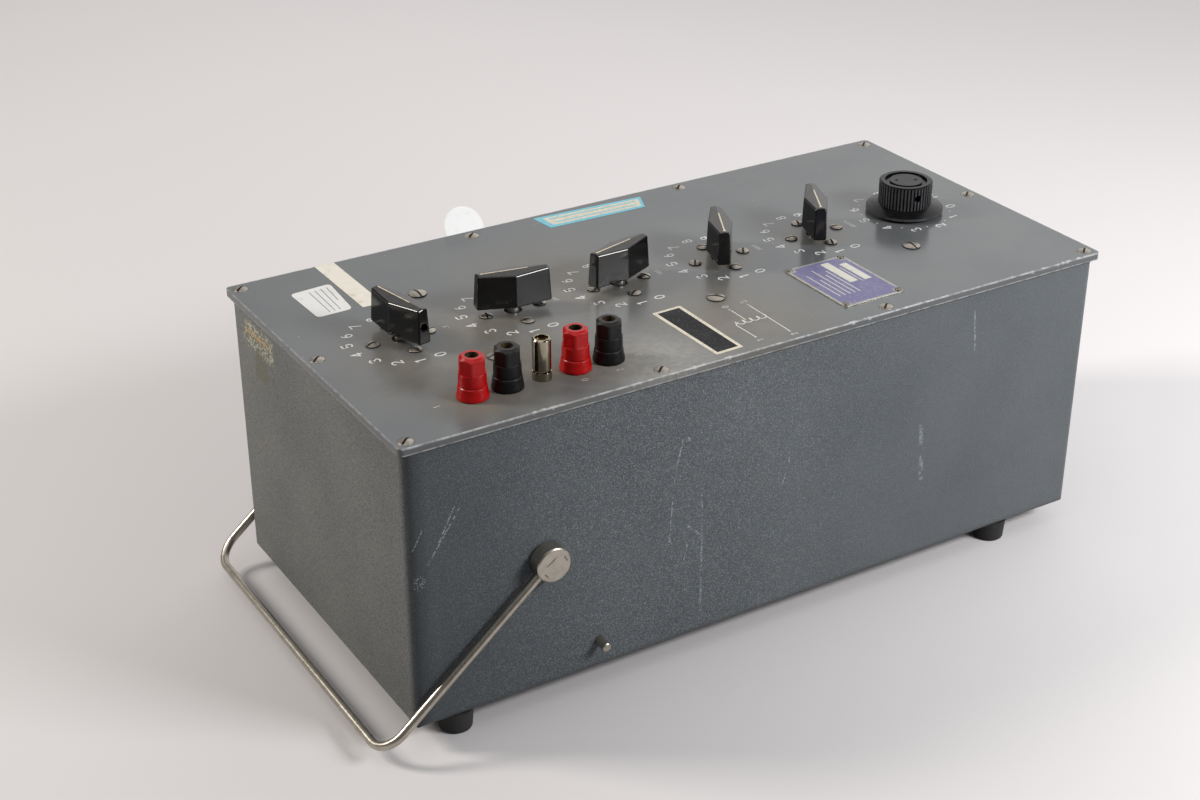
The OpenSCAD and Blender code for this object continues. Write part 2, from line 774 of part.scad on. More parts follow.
// Skirt, fluted length and plain rim, hollow below for the nut and above for the cap
module dial_knob() {
    body_r = dial_body_d / 2;
    skirt_r = skirt_d / 2;
    recess_r = dial_cap_d / 2 + dial_cap_gap;
    rim_r = body_r - flute_depth - flute_floor;
    skirt_profile = [
        [0, dial_gap], [skirt_r, dial_gap], [skirt_r, dial_gap + skirt_t],
        [body_r, skirt_top_z], [0, skirt_top_z]
    ];
    rim_profile = [
        [0, rim_z], [rim_r, rim_z], [rim_r, dial_h - dial_chamfer],
        [rim_r - dial_chamfer, dial_h], [0, dial_h]
    ];
    color([0.06, 0.06, 0.06]) on_panel(knob_x(5), 0) rotate(dial_angle()) difference() {
        union() {
            rotate_extrude() polygon(skirt_profile);
            translate([0, 0, skirt_top_z]) linear_extrude(height = rim_z - skirt_top_z)
                fluted_outline(body_r);
            rotate_extrude() polygon(rim_profile);
        }
        translate([0, 0, dial_gap - cut])
            cylinder(r = body_r - dial_wall, h = dial_hollow_z - dial_gap + cut);
        translate([0, 0, dial_gap]) cylinder(d = dial_bush_d + 2 * hole_clear, h = dial_bush_z - dial_gap);
        translate([0, 0, dial_recess_z]) cylinder(r = recess_r, h = dial_h);
        rotate(dial_set_screw_turn + 180) translate([0, 0, dial_set_screw_z]) rotate([0, -90, 0])
            cylinder(d = dial_set_screw_d + 2 * hole_clear, h = skirt_d);
    }
}

// Flanged cap, with its raised middle level with the rim of the knob
module dial_cap() {
    color([0.09, 0.09, 0.09]) on_panel(knob_x(5), 0) rotate(dial_angle() + dial_cap_turn)
        translate([0, 0, dial_recess_z]) difference() {
            union() {
                cylinder(d = dial_cap_d, h = dial_cap_t - dial_cap_groove);
                cylinder(d = dial_cap_face_ratio * dial_cap_d, h = dial_cap_t);
            }
            for (x = SIDES) translate([x * spanner_span / 2, 0, dial_cap_t / 3])
                cylinder(d = spanner_hole_d, h = dial_cap_t);
        }
}

module dial_bush() {
    color("goldenrod") on_panel(knob_x(5), 0) rotate(dial_angle() + dial_set_screw_turn + 180)
        translate([0, 0, dial_hollow_z])
            shaft_bush(dial_bush_d, dial_bush_z - dial_hollow_z - hole_clear, dial_set_screw_d,
                dial_set_screw_z - dial_hollow_z);
}

module potentiometer_body() {
    color("peru") under_panel(knob_x(5), 0) difference() {
        union() {
            translate([0, 0, -pot_depth]) cylinder(d = pot_d, h = pot_depth);
            cylinder(d = pot_neck_d, h = panel_t + pot_neck_h);
        }
        translate([0, 0, -pot_bore_depth])
            cylinder(d = shaft_d + 2 * run_clear, h = pot_bore_depth + panel_t + pot_neck_h + cut);
    }
}

module potentiometer_nut() {
    color("silver") on_panel(knob_x(5), 0) hex_nut(pot_nut_flats, pot_neck_d + 2 * run_clear, pot_nut_h);
}

module potentiometer_shaft() {
    bottom = face_gap - pot_bore_depth;
    top = panel_t + dial_bush_z - shaft_end_gap;
    color("silver") under_panel(knob_x(5), 0) translate([0, 0, bottom])
        cylinder(d = shaft_d, h = top - bottom);
}

// Inner chassis and windings

module chassis_plate() {
    color("gainsboro") under_panel(0, 0) translate([0, 0, -standoff_l - chassis_t]) difference() {
        translate([chassis_left_x, -chassis_w / 2, 0])
            cube([chassis_right_x - chassis_left_x, chassis_w, chassis_t]);
        for (p = CHASSIS_SCREWS) translate([p[0], p[1], -cut])
            cylinder(d = chassis_screw_d + 2 * hole_clear, h = chassis_t + 2 * cut);
        for (i = DECADES) translate([knob_x(i), 0, -cut])
            cylinder(d = toroid_bolt_d + 2 * hole_clear, h = chassis_t + 2 * cut);
    }
}

module chassis_standoffs() {
    color("silver") for (p = CHASSIS_SCREWS) under_panel(p[0], p[1]) translate([0, 0, -standoff_l])
        tube(standoff_d, chassis_screw_d + 2 * run_clear, standoff_l);
}

module chassis_screws() {
    color("silver") for (p = CHASSIS_SCREWS) {
        on_panel(p[0], p[1])
            pan_screw(chassis_screw_d, chassis_screw_head_d, panel_t + chassis_thread, p[0] + p[1]);
        under_panel(p[0], p[1]) translate([0, 0, -standoff_l - chassis_t]) rotate([180, 0, 0])
            pan_screw(chassis_screw_d, chassis_screw_head_d, chassis_t + chassis_thread);
    }
}

// Places its children on top of a winding, under the chassis plate
module at_toroids() {
    for (i = DECADES) under_panel(knob_x(i), 0) translate([0, 0, -standoff_l - chassis_t]) children();
}

module toroid_windings() {
    r = toroid_round_r;
    inner = toroid_hole_d / 2;
    outer = toroid_d / 2;
    profile = concat(
        arc(inner + r, r - toroid_h, r, 180, 270),
        arc(outer - r, r - toroid_h, r, 270, 360),
        arc(outer - r, -r, r, 0, 90),
        arc(inner + r, -r, r, 90, 180)
    );
    color("chocolate") at_toroids() rotate_extrude() polygon(profile);
}

module toroid_clamps() {
    color("tan") at_toroids() translate([0, 0, -toroid_h - clamp_t])
        tube(toroid_hole_d + 2 * (toroid_round_r + clamp_lap), toroid_bolt_d + 2 * hole_clear, clamp_t);
}

module toroid_bolts() {
    grip = toroid_h + clamp_t;
    nut_h = nut_height_ratio * toroid_bolt_d;
    color("silver") at_toroids() {
        translate([0, 0, -grip]) rotate([180, 0, 0])
            pan_screw(toroid_bolt_d, nut_flats_ratio * toroid_bolt_d, grip + chassis_t + nut_h + screw_tail);
        translate([0, 0, chassis_t])
            hex_nut(nut_flats_ratio * toroid_bolt_d, toroid_bolt_d + 2 * run_clear, nut_h);
    }
}

// Binding posts

// Flared insulating base, drawn in towards its top
module insulated_base() {
    hole_r = stud_d / 2 + hole_clear;
    foot_r = post_base_d / 2;
    top_r = post_base_top_d / 2;
    profile = [
        [hole_r, 0], [foot_r - base_edge, 0], [foot_r, base_edge], [foot_r, base_foot_h],
        [base_waist_d / 2, base_waist_z], [top_r, post_base_h - base_edge],
        [top_r - base_edge, post_base_h], [hole_r, post_base_h]
    ];
    rotate_extrude() polygon(profile);
}

module red_post_bases() {
    color("crimson") for (i = RED_POSTS) on_panel(post_x(i), post_y) insulated_base();
}

module black_post_bases() {
    color([0.1, 0.1, 0.11]) for (i = BLACK_POSTS) on_panel(post_x(i), post_y) insulated_base();
}

module ground_post_base() {
    color("silver") on_panel(post_x(GROUND_POST), post_y)
        tube(ground_base_d, stud_d + 2 * hole_clear, ground_base_h);
}

// Hollow stud with the socket for a plug
module post_stud() {
    bottom = panel_t + post_washer_t + post_nut_h + 2 * screw_tail;
    difference() {
        translate([0, 0, -bottom]) cylinder(d = stud_d, h = bottom + stud_h);
        translate([0, 0, stud_h - socket_depth]) cylinder(d = socket_d, h = socket_depth + cut);
    }
}

module post_studs() {
    color("goldenrod") for (i = POSTS) on_panel(post_x(i), post_y) post_stud();
}

module post_washers() {
    color("linen") for (i = POSTS) under_panel(post_x(i), post_y) translate([0, 0, -post_washer_t])
        tube(post_washer_d, stud_d + 2 * hole_clear, post_washer_t);
}

module post_nuts() {
    color("goldenrod") for (i = POSTS) under_panel(post_x(i), post_y)
        translate([0, 0, -post_washer_t - post_nut_h])
            hex_nut(post_nut_flats, stud_d + 2 * run_clear, post_nut_h);
}

// Bottom of a cap above the panel
function cap_z(i) = (i == GROUND_POST ? ground_base_h : post_base_h) + face_gap;

// Room for the threaded insert and the plug in a cap
module cap_hollow(i) {
    translate([0, 0, cap_z(i) - cut])
        cylinder(d = insert_d + 2 * run_clear, h = insert_top_z - cap_z(i) + cut);
    translate([0, 0, cap_z(i)]) cylinder(d = post_mouth_d, h = post_h);
}

// Moulded cap, round below and six-sided above, with a chamfered top
module insulated_cap(i) {
    low_z = cap_z(i);
    low_r = post_cap_d / 2;
    top_r = low_r - cap_draft;
    profile = [
        [0, post_flats_z - cut], [top_r, post_flats_z - cut], [top_r, post_h - cap_chamfer],
        [low_r - cap_chamfer_in, post_h], [0, post_h]
    ];
    difference() {
        union() {
            translate([0, 0, low_z]) cylinder(r1 = low_r, r2 = top_r, h = post_flats_z - low_z);
            intersection() {
                rotate_extrude() polygon(profile);
                cylinder(d = post_cap_flats / cos(30), h = post_h + cut, $fn = 6);
            }
        }
        cap_hollow(i);
    }
}

// Turned metal cap
module ground_cap(i) {
    r = ground_post_d / 2;
    profile = [
        [0, cap_z(i)], [r - ground_chamfer / 2, cap_z(i)], [r, cap_z(i) + ground_chamfer],
        [r, ground_post_h - ground_chamfer], [r - ground_chamfer, ground_post_h], [0, ground_post_h]
    ];
    difference() {
        rotate_extrude() polygon(profile);
        cap_hollow(i);
    }
}

module post_cap(i) {
    shade = i == GROUND_POST ? "silver" : i == RED_POSTS[0] || i == RED_POSTS[1] ? "crimson" : "black";
    color(shade) on_panel(post_x(i), post_y) if (i == GROUND_POST) ground_cap(i); else insulated_cap(i);
}

module post_insert(i) {
    color("goldenrod") on_panel(post_x(i), post_y) translate([0, 0, cap_z(i) + insert_end_gap])
        tube(insert_d, stud_d + 2 * run_clear, insert_top_z - cap_z(i) - 2 * insert_end_gap);
}

case_shell();
front_panel();
panel_screws();
rubber_feet();
foot_screws();
foot_nuts();
bail_stop_pins();
pivot_bushes();
switch_index_plates();
switch_wafers();
switch_spacers();
switch_screws();
switch_nuts();
chassis_plate();
chassis_standoffs();
chassis_screws();
toroid_windings();
toroid_clamps();
toroid_bolts();
potentiometer_body();
potentiometer_nut();
red_post_bases();
black_post_bases();
ground_post_base();
post_studs();
post_washers();
post_nuts();
bail_rod();
bail_boss_near();
bail_boss_far();
bail_nuts();
decade_knob(0);  // decade_knob_1
decade_knob(1);  // decade_knob_2
decade_knob(2);  // decade_knob_3
decade_knob(3);  // decade_knob_4
decade_knob(4);  // decade_knob_5
decade_bush(0);  // decade_bush_1
decade_bush(1);  // decade_bush_2
decade_bush(2);  // decade_bush_3
decade_bush(3);  // decade_bush_4
decade_bush(4);  // decade_bush_5
switch_shaft(0);  // switch_shaft_1
switch_shaft(1);  // switch_shaft_2
switch_shaft(2);  // switch_shaft_3
switch_shaft(3);  // switch_shaft_4
switch_shaft(4);  // switch_shaft_5
dial_knob();
dial_cap();
dial_bush();
potentiometer_shaft();
post_cap(0);  // post_cap_1
post_cap(1);  // post_cap_2
post_cap(2);  // post_cap_3
post_cap(3);  // post_cap_4
post_cap(4);  // post_cap_5
post_insert(0);  // post_insert_1
post_insert(1);  // post_insert_2
post_insert(2);  // post_insert_3
post_insert(3);  // post_insert_4
post_insert(4);  // post_insert_5
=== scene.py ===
"""Looks of the ratio transformer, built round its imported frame. Metres in the row frame, +Z up."""
import functools
import math

import bmesh
import bpy
from mathutils import Matrix, Vector


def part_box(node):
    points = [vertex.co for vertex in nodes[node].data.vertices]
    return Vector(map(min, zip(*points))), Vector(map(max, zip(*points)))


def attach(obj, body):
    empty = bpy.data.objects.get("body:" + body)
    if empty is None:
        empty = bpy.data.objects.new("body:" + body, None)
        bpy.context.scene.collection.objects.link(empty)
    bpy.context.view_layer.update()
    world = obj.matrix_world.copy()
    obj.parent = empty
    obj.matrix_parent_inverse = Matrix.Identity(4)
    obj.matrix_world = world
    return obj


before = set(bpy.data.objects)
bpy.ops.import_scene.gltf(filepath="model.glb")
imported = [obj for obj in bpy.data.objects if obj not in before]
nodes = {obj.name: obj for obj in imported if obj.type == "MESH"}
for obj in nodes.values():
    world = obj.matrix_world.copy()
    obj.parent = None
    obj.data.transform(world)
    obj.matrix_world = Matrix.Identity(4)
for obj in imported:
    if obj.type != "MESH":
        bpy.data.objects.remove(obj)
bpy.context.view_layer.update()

# Places on the object, read from the frame

MM = 0.001


def middle(node):
    low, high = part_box(node)
    return (low + high) / 2


case_low, case_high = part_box("case_shell")
panel_low, panel_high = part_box("front_panel")
PANEL_X = (panel_low.x + panel_high.x) / 2
PANEL_Z = panel_high.z
# Numbers of the bar knobs and of the posts, from the left
NUMBERS = range(1, 6)
knob_axes = [middle("switch_shaft_%d" % n) for n in NUMBERS]
dial_axis = middle("potentiometer_shaft")
post_axes = [middle("post_insert_%d" % n) for n in NUMBERS]
boss_axis = middle("bail_boss_near")
KNOB_PITCH = knob_axes[1].x - knob_axes[0].x
POST_PITCH = post_axes[1].x - post_axes[0].x

# Scales of the knobs, in degrees, and what the knobs are set to
DECADE_ZERO = -72
DECADE_STEP = 24
DECADE_READINGS = (8, 5, 4, 2, 2)
DIAL_ZERO = -18
DIAL_STEP = 32.4
DIAL_READING = 6.2
# Angles by which the bar knobs were set off their figures
KNOB_SETS = (5, 1, 3, 3, 2)


def on_panel(x, y):
    """A point on the panel, from its middle, in millimetres."""
    return Vector((PANEL_X + x * MM, y * MM, PANEL_Z))


def case_point(u, z, middle_u=0.0):
    """A place on a side of the case, from the middle of its bottom in millimetres, in the row frame."""
    return (middle_u + u * MM, case_low.z + z * MM)


def past(start, distances):
    """Coordinates at distances from a start, in millimetres."""
    return [start + d * MM for d in distances]


def polar(radius, degrees):
    angle = math.radians(degrees)
    return Vector((radius * math.cos(angle), radius * math.sin(angle)))


def knob_angle(n):
    """Where the pointer of a bar knob rests, in degrees."""
    return DECADE_ZERO - DECADE_STEP * DECADE_READINGS[n - 1] + KNOB_SETS[n - 1]


# Material graphs

# Colour sockets of the Mix node
MIX_SHARE, MIX_FIRST, MIX_SECOND, MIX_RESULT = 0, 6, 7, 2
# Samples of the nodes that look at what lies round a point
LOOK_SAMPLES = 6
# Cosine of the turn of a rounded normal, on an edge and on a flat face
EDGE_COSINES = (0.75, 0.99)
# How open a place is, deep in a hollow and on a free face
HOLLOW_SHARES = (0.35, 0.8)
# Share of a line's width that has its full strength
LINE_CORE = 0.3


class Value:
    """A number or colour that varies over a surface. Arithmetic on it adds nodes to its graph."""

    def __init__(self, graph, socket):
        self.graph = graph
        self.socket = socket

    def __add__(self, other):
        return self.graph.math("ADD", self, other)

    def __sub__(self, other):
        return self.graph.math("SUBTRACT", self, other)

    def __rsub__(self, other):
        return self.graph.math("SUBTRACT", other, self)

    def __mul__(self, other):
        return self.graph.math("MULTIPLY", self, other)

    def upto(self, other):
        return self.graph.math("MINIMUM", self, other)

    def atleast(self, other):
        return self.graph.math("MAXIMUM", self, other)

    def rise(self, low, high, to_low=0.0, to_high=1.0):
        """Goes smoothly from to_low to to_high as the value goes from low to high."""
        made = self.graph.node("ShaderNodeMapRange", {"interpolation_type": "SMOOTHSTEP"}, Value=self)
        for name, number in (("From Min", low), ("From Max", high), ("To Min", to_low), ("To Max", to_high)):
            made.inputs[name].default_value = number
        return Value(self.graph, made.outputs["Result"])


class Graph:
    """The node graph of one material, round one Principled shader."""

    def __init__(self, name, **shader):
        self.material = bpy.data.materials.new(name)
        self.material.use_nodes = True
        self.tree = self.material.node_tree
        self.tree.nodes.clear()
        output = self.tree.nodes.new("ShaderNodeOutputMaterial")
        self.shader = self.tree.nodes.new("ShaderNodeBsdfPrincipled")
        self.tree.links.new(self.shader.outputs[0], output.inputs[0])
        for socket, value in shader.items():
            self.set(socket, value)
        self.place = self.node("ShaderNodeTexCoord").outputs["Object"]
        split = self.node("ShaderNodeSeparateXYZ", Vector=self.place)
        self.x, self.y, self.z = (Value(self, split.outputs[axis]) for axis in "XYZ")
        self.normal = None

    def node(self, kind, settings=(), **inputs):
        made = self.tree.nodes.new(kind)
        for name, value in dict(settings).items():
            setattr(made, name, value)
        for name, value in inputs.items():
            self.feed(made.inputs[name], value)
        return made

    def feed(self, socket, value):
        if isinstance(value, Value):
            value = value.socket
        if isinstance(value, bpy.types.NodeSocket):
            self.tree.links.new(value, socket)
        elif socket.type == "RGBA":
            socket.default_value = (*value, 1)
        else:
            socket.default_value = value

    def set(self, name, value):
        """Sets a socket of the shader, to a constant or to a value that varies."""
        self.feed(self.shader.inputs[name.replace("_", " ")], value)

    def math(self, operation, *numbers):
        made = self.node("ShaderNodeMath", {"operation": operation})
        for socket, number in zip(made.inputs, numbers):
            self.feed(socket, number)
        return Value(self, made.outputs[0])

    def stretched(self, x, y, z):
        """The surface's coordinates, with features drawn out along the axes by these factors."""
        made = self.node("ShaderNodeMapping", Vector=self.place)
        made.inputs["Scale"].default_value = (1 / x, 1 / y, 1 / z)
        return made.outputs[0]

    def noise(self, size, detail=3.0, place=None, distortion=0.0):
        """Soft noise from 0 to 1, whose features are about as long as size, in metres."""
        made = self.node("ShaderNodeTexNoise", Vector=place or self.place, Scale=1 / size, Detail=detail,
                         Distortion=distortion)
        return Value(self, made.outputs["Fac"])

    def mix(self, share, first, second):
        made = self.node("ShaderNodeMix", {"data_type": "RGBA"})
        for index, value in ((MIX_SHARE, share), (MIX_FIRST, first), (MIX_SECOND, second)):
            self.feed(made.inputs[index], value)
        return Value(self, made.outputs[MIX_RESULT])

    def distance(self, du, dv):
        return self.math("SQRT", du * du + dv * dv)

    def near_point(self, point, reach):
        """1 at a point of the panel, 0 from reach on, in metres."""
        return self.distance(self.x - point.x, self.y - point.y).rise(0, reach, 1, 0)

    def near_line(self, u, v, start, end, width):
        """1 on a straight line in the plane of the coordinates u and v, 0 from its width on."""
        along = Vector(end) - Vector(start)
        du, dv = u - start[0], v - start[1]
        share = (du * along.x + dv * along.y) * (1 / along.length_squared)
        share = share.atleast(0).upto(1)
        off = self.distance(du - share * along.x, dv - share * along.y)
        return off.rise(width * LINE_CORE, width, 1, 0)

    def row(self, axes, pitch):
        """Distance along X from the nearest axis of an even row."""
        return self.math("WRAP", self.x - axes[0].x, pitch / 2, -pitch / 2)

    def facing_up(self, low=0.5, high=0.9):
        """1 on faces that look up, 0 on upright ones."""
        normal = self.node("ShaderNodeNewGeometry").outputs["True Normal"]
        split = self.node("ShaderNodeSeparateXYZ", Vector=normal)
        return Value(self, split.outputs["Z"]).rise(low, high)

    def round_edges(self, radius, shaded=True):
        """Rounds the edges in the shading, if asked, and gives 1 on them and 0 on flat faces."""
        rounded_off = self.node("ShaderNodeBevel", {"samples": LOOK_SAMPLES}, Radius=radius).outputs[0]
        flat = self.node("ShaderNodeNewGeometry").outputs["Normal"]
        dot_product = self.node("ShaderNodeVectorMath", {"operation": "DOT_PRODUCT"})
        self.feed(dot_product.inputs[0], rounded_off)
        self.feed(dot_product.inputs[1], flat)
        if shaded:
            self.normal = rounded_off
            self.set("Normal", rounded_off)
        return Value(self, dot_product.outputs["Value"]).rise(*EDGE_COSINES, 1, 0)

    def hollows(self, reach):
        """1 deep in slots and corners, 0 on open faces."""
        settings = {"samples": LOOK_SAMPLES, "only_local": True}
        made = self.node("ShaderNodeAmbientOcclusion", settings, Distance=reach)
        return Value(self, made.outputs["AO"]).rise(*HOLLOW_SHARES, 1, 0)

    def bump(self, height, depth):
        """Raises the surface by height times depth, in metres."""
        made = self.node("ShaderNodeBump", Height=height, Distance=depth)
        if self.normal is not None:
            self.feed(made.inputs["Normal"], self.normal)
        self.set("Normal", made.outputs[0])


# Finish of the case

CASE_BLUE = (0.131, 0.147, 0.159)
CASE_SHADED_BLUE = (0.057, 0.068, 0.077)
CASE_RIDGE_GLINT = (0.38, 0.405, 0.42)
CASE_SHADE = (0.020, 0.025, 0.030)
END_DUST = (0.265, 0.256, 0.226)
SCUFF_BLUE = (0.42, 0.46, 0.49)
OLD_GLUE = (0.60, 0.59, 0.48)
OLIVE_GLUE = (0.125, 0.118, 0.060)
OLD_TAPE = (0.52, 0.31, 0.075)

CASE_EDGE = 1.5 * MM
# Wrinkle of the paint: size, how far it is drawn out along the axes, and depth
WRINKLE = 0.42 * MM
WRINKLE_STRETCH = (1.35, 1.25, 1.1)
WRINKLE_DEPTH = 0.34 * MM
# Where the painted glints on its ridges begin and stop to show, from the left, and how much at either place
RIDGE_GLINTS_LEFT = (case_low.x, PANEL_X - 90 * MM, 0.18, 0.56)
RIDGE_GLINTS_RIGHT = (PANEL_X - 40 * MM, PANEL_X + 120 * MM, 0.56, 0.13)
# How deep the finish of a side goes into the case, in mm, from full to none
NEAR_SIDE = (0.2, 0.8)
LEFT_END = (0.2, 1.2)
# Painted shade: a dark band along the near left edge, in mm from the left end and from the near side, and its
# strength
SHADE_BAND_START = (1.0, 3.0)
SHADE_BAND_END = (4.0, 13.0)
SHADE_BAND_BACK = (2.5, 4.5)
SHADE_BAND_STRENGTH = 0.6
# Scratches on the near side, in mm: ends from the middle of its bottom, as x and z, and width
SIDE_SCRATCHES = (
    ((-54.9, 68.8), (-46.0, 59.9), 0.9),
    ((-46.0, 59.9), (-46.1, 14.1), 0.8),
    ((128.6, 146.3), (131.4, 121.6), 0.8),
    ((97.4, 84.6), (100.2, 50.5), 2.0),
    ((-185.2, 120.8), (-203.3, 94.4), 0.6),
    ((-188.3, 121.7), (-197.0, 105.0), 0.6),
    ((-205.7, 113.7), (-211.0, 104.0), 0.5),
    ((8.3, 95.0), (8.0, 87.0), 0.6),
    ((8.0, 87.0), (4.5, 76.0), 0.5),
    ((-67.4, 67.0), (-63.0, 56.8), 0.6),
    ((-54.3, 61.6), (-58.0, 45.1), 0.5),
    ((-68.4, 28.9), (-61.1, 27.9), 0.8),
    ((-58.9, 120.3), (-63.3, 102.8), 0.7),
    ((-63.3, 102.8), (-66.5, 61.0), 0.5),
    ((-55.5, 120.5), (-54.5, 116.5), 1.0),
    ((-46.6, 84.7), (-46.0, 59.9), 0.5),
)
SCRATCH_STRENGTH = 0.7
# A rubbed spot beside them: its place and reach, in mm, and strength
RUB_PLACE = (-209.0, 85.5)
RUB_REACH = (2.5, 5.0)
RUB_STRENGTH = 0.6
# Old paper and the glue that ran from it, on the left end: low and high corner, as y and z, in mm
GLUE_PATCH = ((47.0, 136.5), (87.0, 151.5))
GLUE_RUN = ((57.5, 120.0), (75.0, 137.0))
GLUE_RAGS = 10 * MM
# Streak of tape over them: its ends and width
TAPE_STREAK = ((85.0, 144.6), (54.5, 145.6), 1.1)


def case_paint(name):
    """Slate enamel in a fine wrinkle, scuffed on edges, scratched on the near side, dusty on the left end. It
    has painted shade toward the left and along the near left edge, and painted glints on its ridges.
    """
    g = Graph(name, Specular_IOR_Level=0.35)
    edge = g.round_edges(CASE_EDGE)
    wrinkle = g.noise(WRINKLE, detail=2.0, place=g.stretched(*WRINKLE_STRETCH), distortion=1.0)
    cloud = g.noise(70 * MM, detail=4.0)
    flecks = g.noise(0.8 * MM, detail=1.0)
    breaks = g.noise(3.5 * MM, detail=2.0)
    near_side = g.y.rise(*past(case_low.y, NEAR_SIDE), 1, 0)
    left_end = g.x.rise(*past(case_low.x, LEFT_END), 1, 0)

    # Painted shade: darker toward the left. Painted glints on the wrinkle's ridges, sharpest left of the
    # middle
    painted_shade_and_tone = g.x.rise(case_low.x, case_high.x) * 0.75 + cloud.rise(0.35, 0.7) * 0.25
    colour = g.mix(painted_shade_and_tone, CASE_SHADED_BLUE, CASE_BLUE)
    highlit_ridges = g.x.rise(*RIDGE_GLINTS_LEFT).upto(g.x.rise(*RIDGE_GLINTS_RIGHT))
    colour = g.mix(wrinkle.rise(0.52, 0.64) * highlit_ridges, colour, CASE_RIDGE_GLINT)
    # Painted shade in a band along the near left edge
    corner_shade = g.x.rise(*past(case_low.x, SHADE_BAND_START)).upto(g.x.rise(*past(case_low.x, SHADE_BAND_END), 1, 0))
    corner_shade = corner_shade * g.y.rise(*past(case_low.y, SHADE_BAND_BACK), 1, 0)
    colour = g.mix(corner_shade * SHADE_BAND_STRENGTH, colour, CASE_SHADE)

    # Scuffed edges, scratches and the rubbed spot
    scuffs = edge * g.noise(6 * MM).rise(0.5, 0.72) * flecks.rise(0.35, 0.6)
    broken = near_side * flecks.rise(0.42, 0.56) * breaks.rise(0.40, 0.52) * SCRATCH_STRENGTH
    for start, end, width in SIDE_SCRATCHES:
        line = g.near_line(g.x, g.z, case_point(*start, PANEL_X), case_point(*end, PANEL_X), width * MM)
        scuffs = scuffs.atleast(line * broken)
    rub_x, rub_z = case_point(*RUB_PLACE, PANEL_X)
    rub = g.distance(g.x - rub_x, g.z - rub_z).rise(*past(0, RUB_REACH), 1, 0)
    scuffs = scuffs.atleast(rub * near_side * flecks.rise(0.54, 0.64) * RUB_STRENGTH)
    colour = g.mix(scuffs, colour, SCUFF_BLUE)

    # Dust, old paper, glue and tape on the left end
    dust = left_end * cloud.rise(0.25, 0.7, 0.46, 0.72) * wrinkle.rise(0.40, 0.62, 1.0, 0.30)
    colour = g.mix(dust * flecks.rise(0.35, 0.65, 0.30, 1.55), colour, END_DUST)
    ragged = g.noise(6 * MM, detail=4.0) * GLUE_RAGS - GLUE_RAGS / 2
    y, z = g.y + ragged, g.z + ragged

    def ragged_patch(low, high):
        """1 in a rectangle with ragged sides on the left end, 0 outside it."""
        (y_low, z_low), (y_high, z_high) = case_point(*low), case_point(*high)
        along = y.rise(*past(y_low, (-1, 2))) * y.rise(*past(y_high, (-2, 1)), 1, 0)
        return along * z.rise(*past(z_low, (-2, 3))) * z.rise(*past(z_high, (-1, 1)), 1, 0) * left_end

    patch, run = ragged_patch(*GLUE_PATCH), ragged_patch(*GLUE_RUN)
    flakes = g.noise(1.5 * MM, detail=4.0).rise(0.46, 0.60) * patch
    start, end, width = TAPE_STREAK
    streak = g.near_line(g.y, g.z + ragged * 0.25, case_point(*start), case_point(*end), width * MM)
    colour = g.mix(run * flecks.rise(0.25, 0.55) * 0.75, colour, OLIVE_GLUE)
    colour = g.mix(patch * 0.55, colour, OLIVE_GLUE)
    colour = g.mix(flakes * 0.8, colour, OLD_GLUE)
    colour = g.mix(streak * left_end * breaks.rise(0.25, 0.42) * 0.9, colour, OLD_TAPE)
    g.set("Base_Color", colour)
    g.set("Roughness", wrinkle.rise(0.3, 0.8, 0.52, 0.34))
    g.bump(wrinkle, WRINKLE_DEPTH)
    return g.material


# Finish of the panel

PANEL_GREY = (0.085, 0.092, 0.098)
PANEL_PALE = (0.104, 0.110, 0.114)
PANEL_GRIME = (0.163, 0.144, 0.112)
PANEL_BROWN = (0.115, 0.092, 0.066)
PANEL_DUST = (0.26, 0.25, 0.23)
PANEL_DEEP = (0.062, 0.068, 0.073)
PANEL_BARE = (0.45, 0.46, 0.46)
PANEL_SPECK = (0.05, 0.045, 0.04)

PANEL_EDGE = 0.9 * MM
PANEL_RELIEF = 0.002 * MM
# Grime: places from the middle of the panel and reach, in mm, and strength
GRIME_SPOTS = ((-135, -35, 95, 0.95), (-60, 20, 80, 0.7), (-10, -70, 75, 0.8))
# Grime round each bar knob and each post: reach in mm, and strength
KNOB_GRIME = (30, 0.6)
POST_GRIME = (36, 1.0)
# Dust beside the posts: its place and reach, in mm
DUST_PLACE = (-66, -90)
DUST_REACH = 50
# The panel is dull on a line in front of the posts
DULL_SHIFT = Vector((0, -8 * MM))
DULL_W = 34 * MM
# Bare metal along the near edge, the far edge and the ends, drawn as pale lines on their top and bottom edges
# that are also painted highlights: strength, and reach in mm
NEAR_WEAR_AND_HIGHLIGHT = 0.95
FAR_WEAR_AND_HIGHLIGHT = 0.5
END_WEAR_AND_HIGHLIGHT = 0.45
EDGE_LINE_REACH = (0.35, 0.95)
CHIP_REACH = (0.9, 1.7)


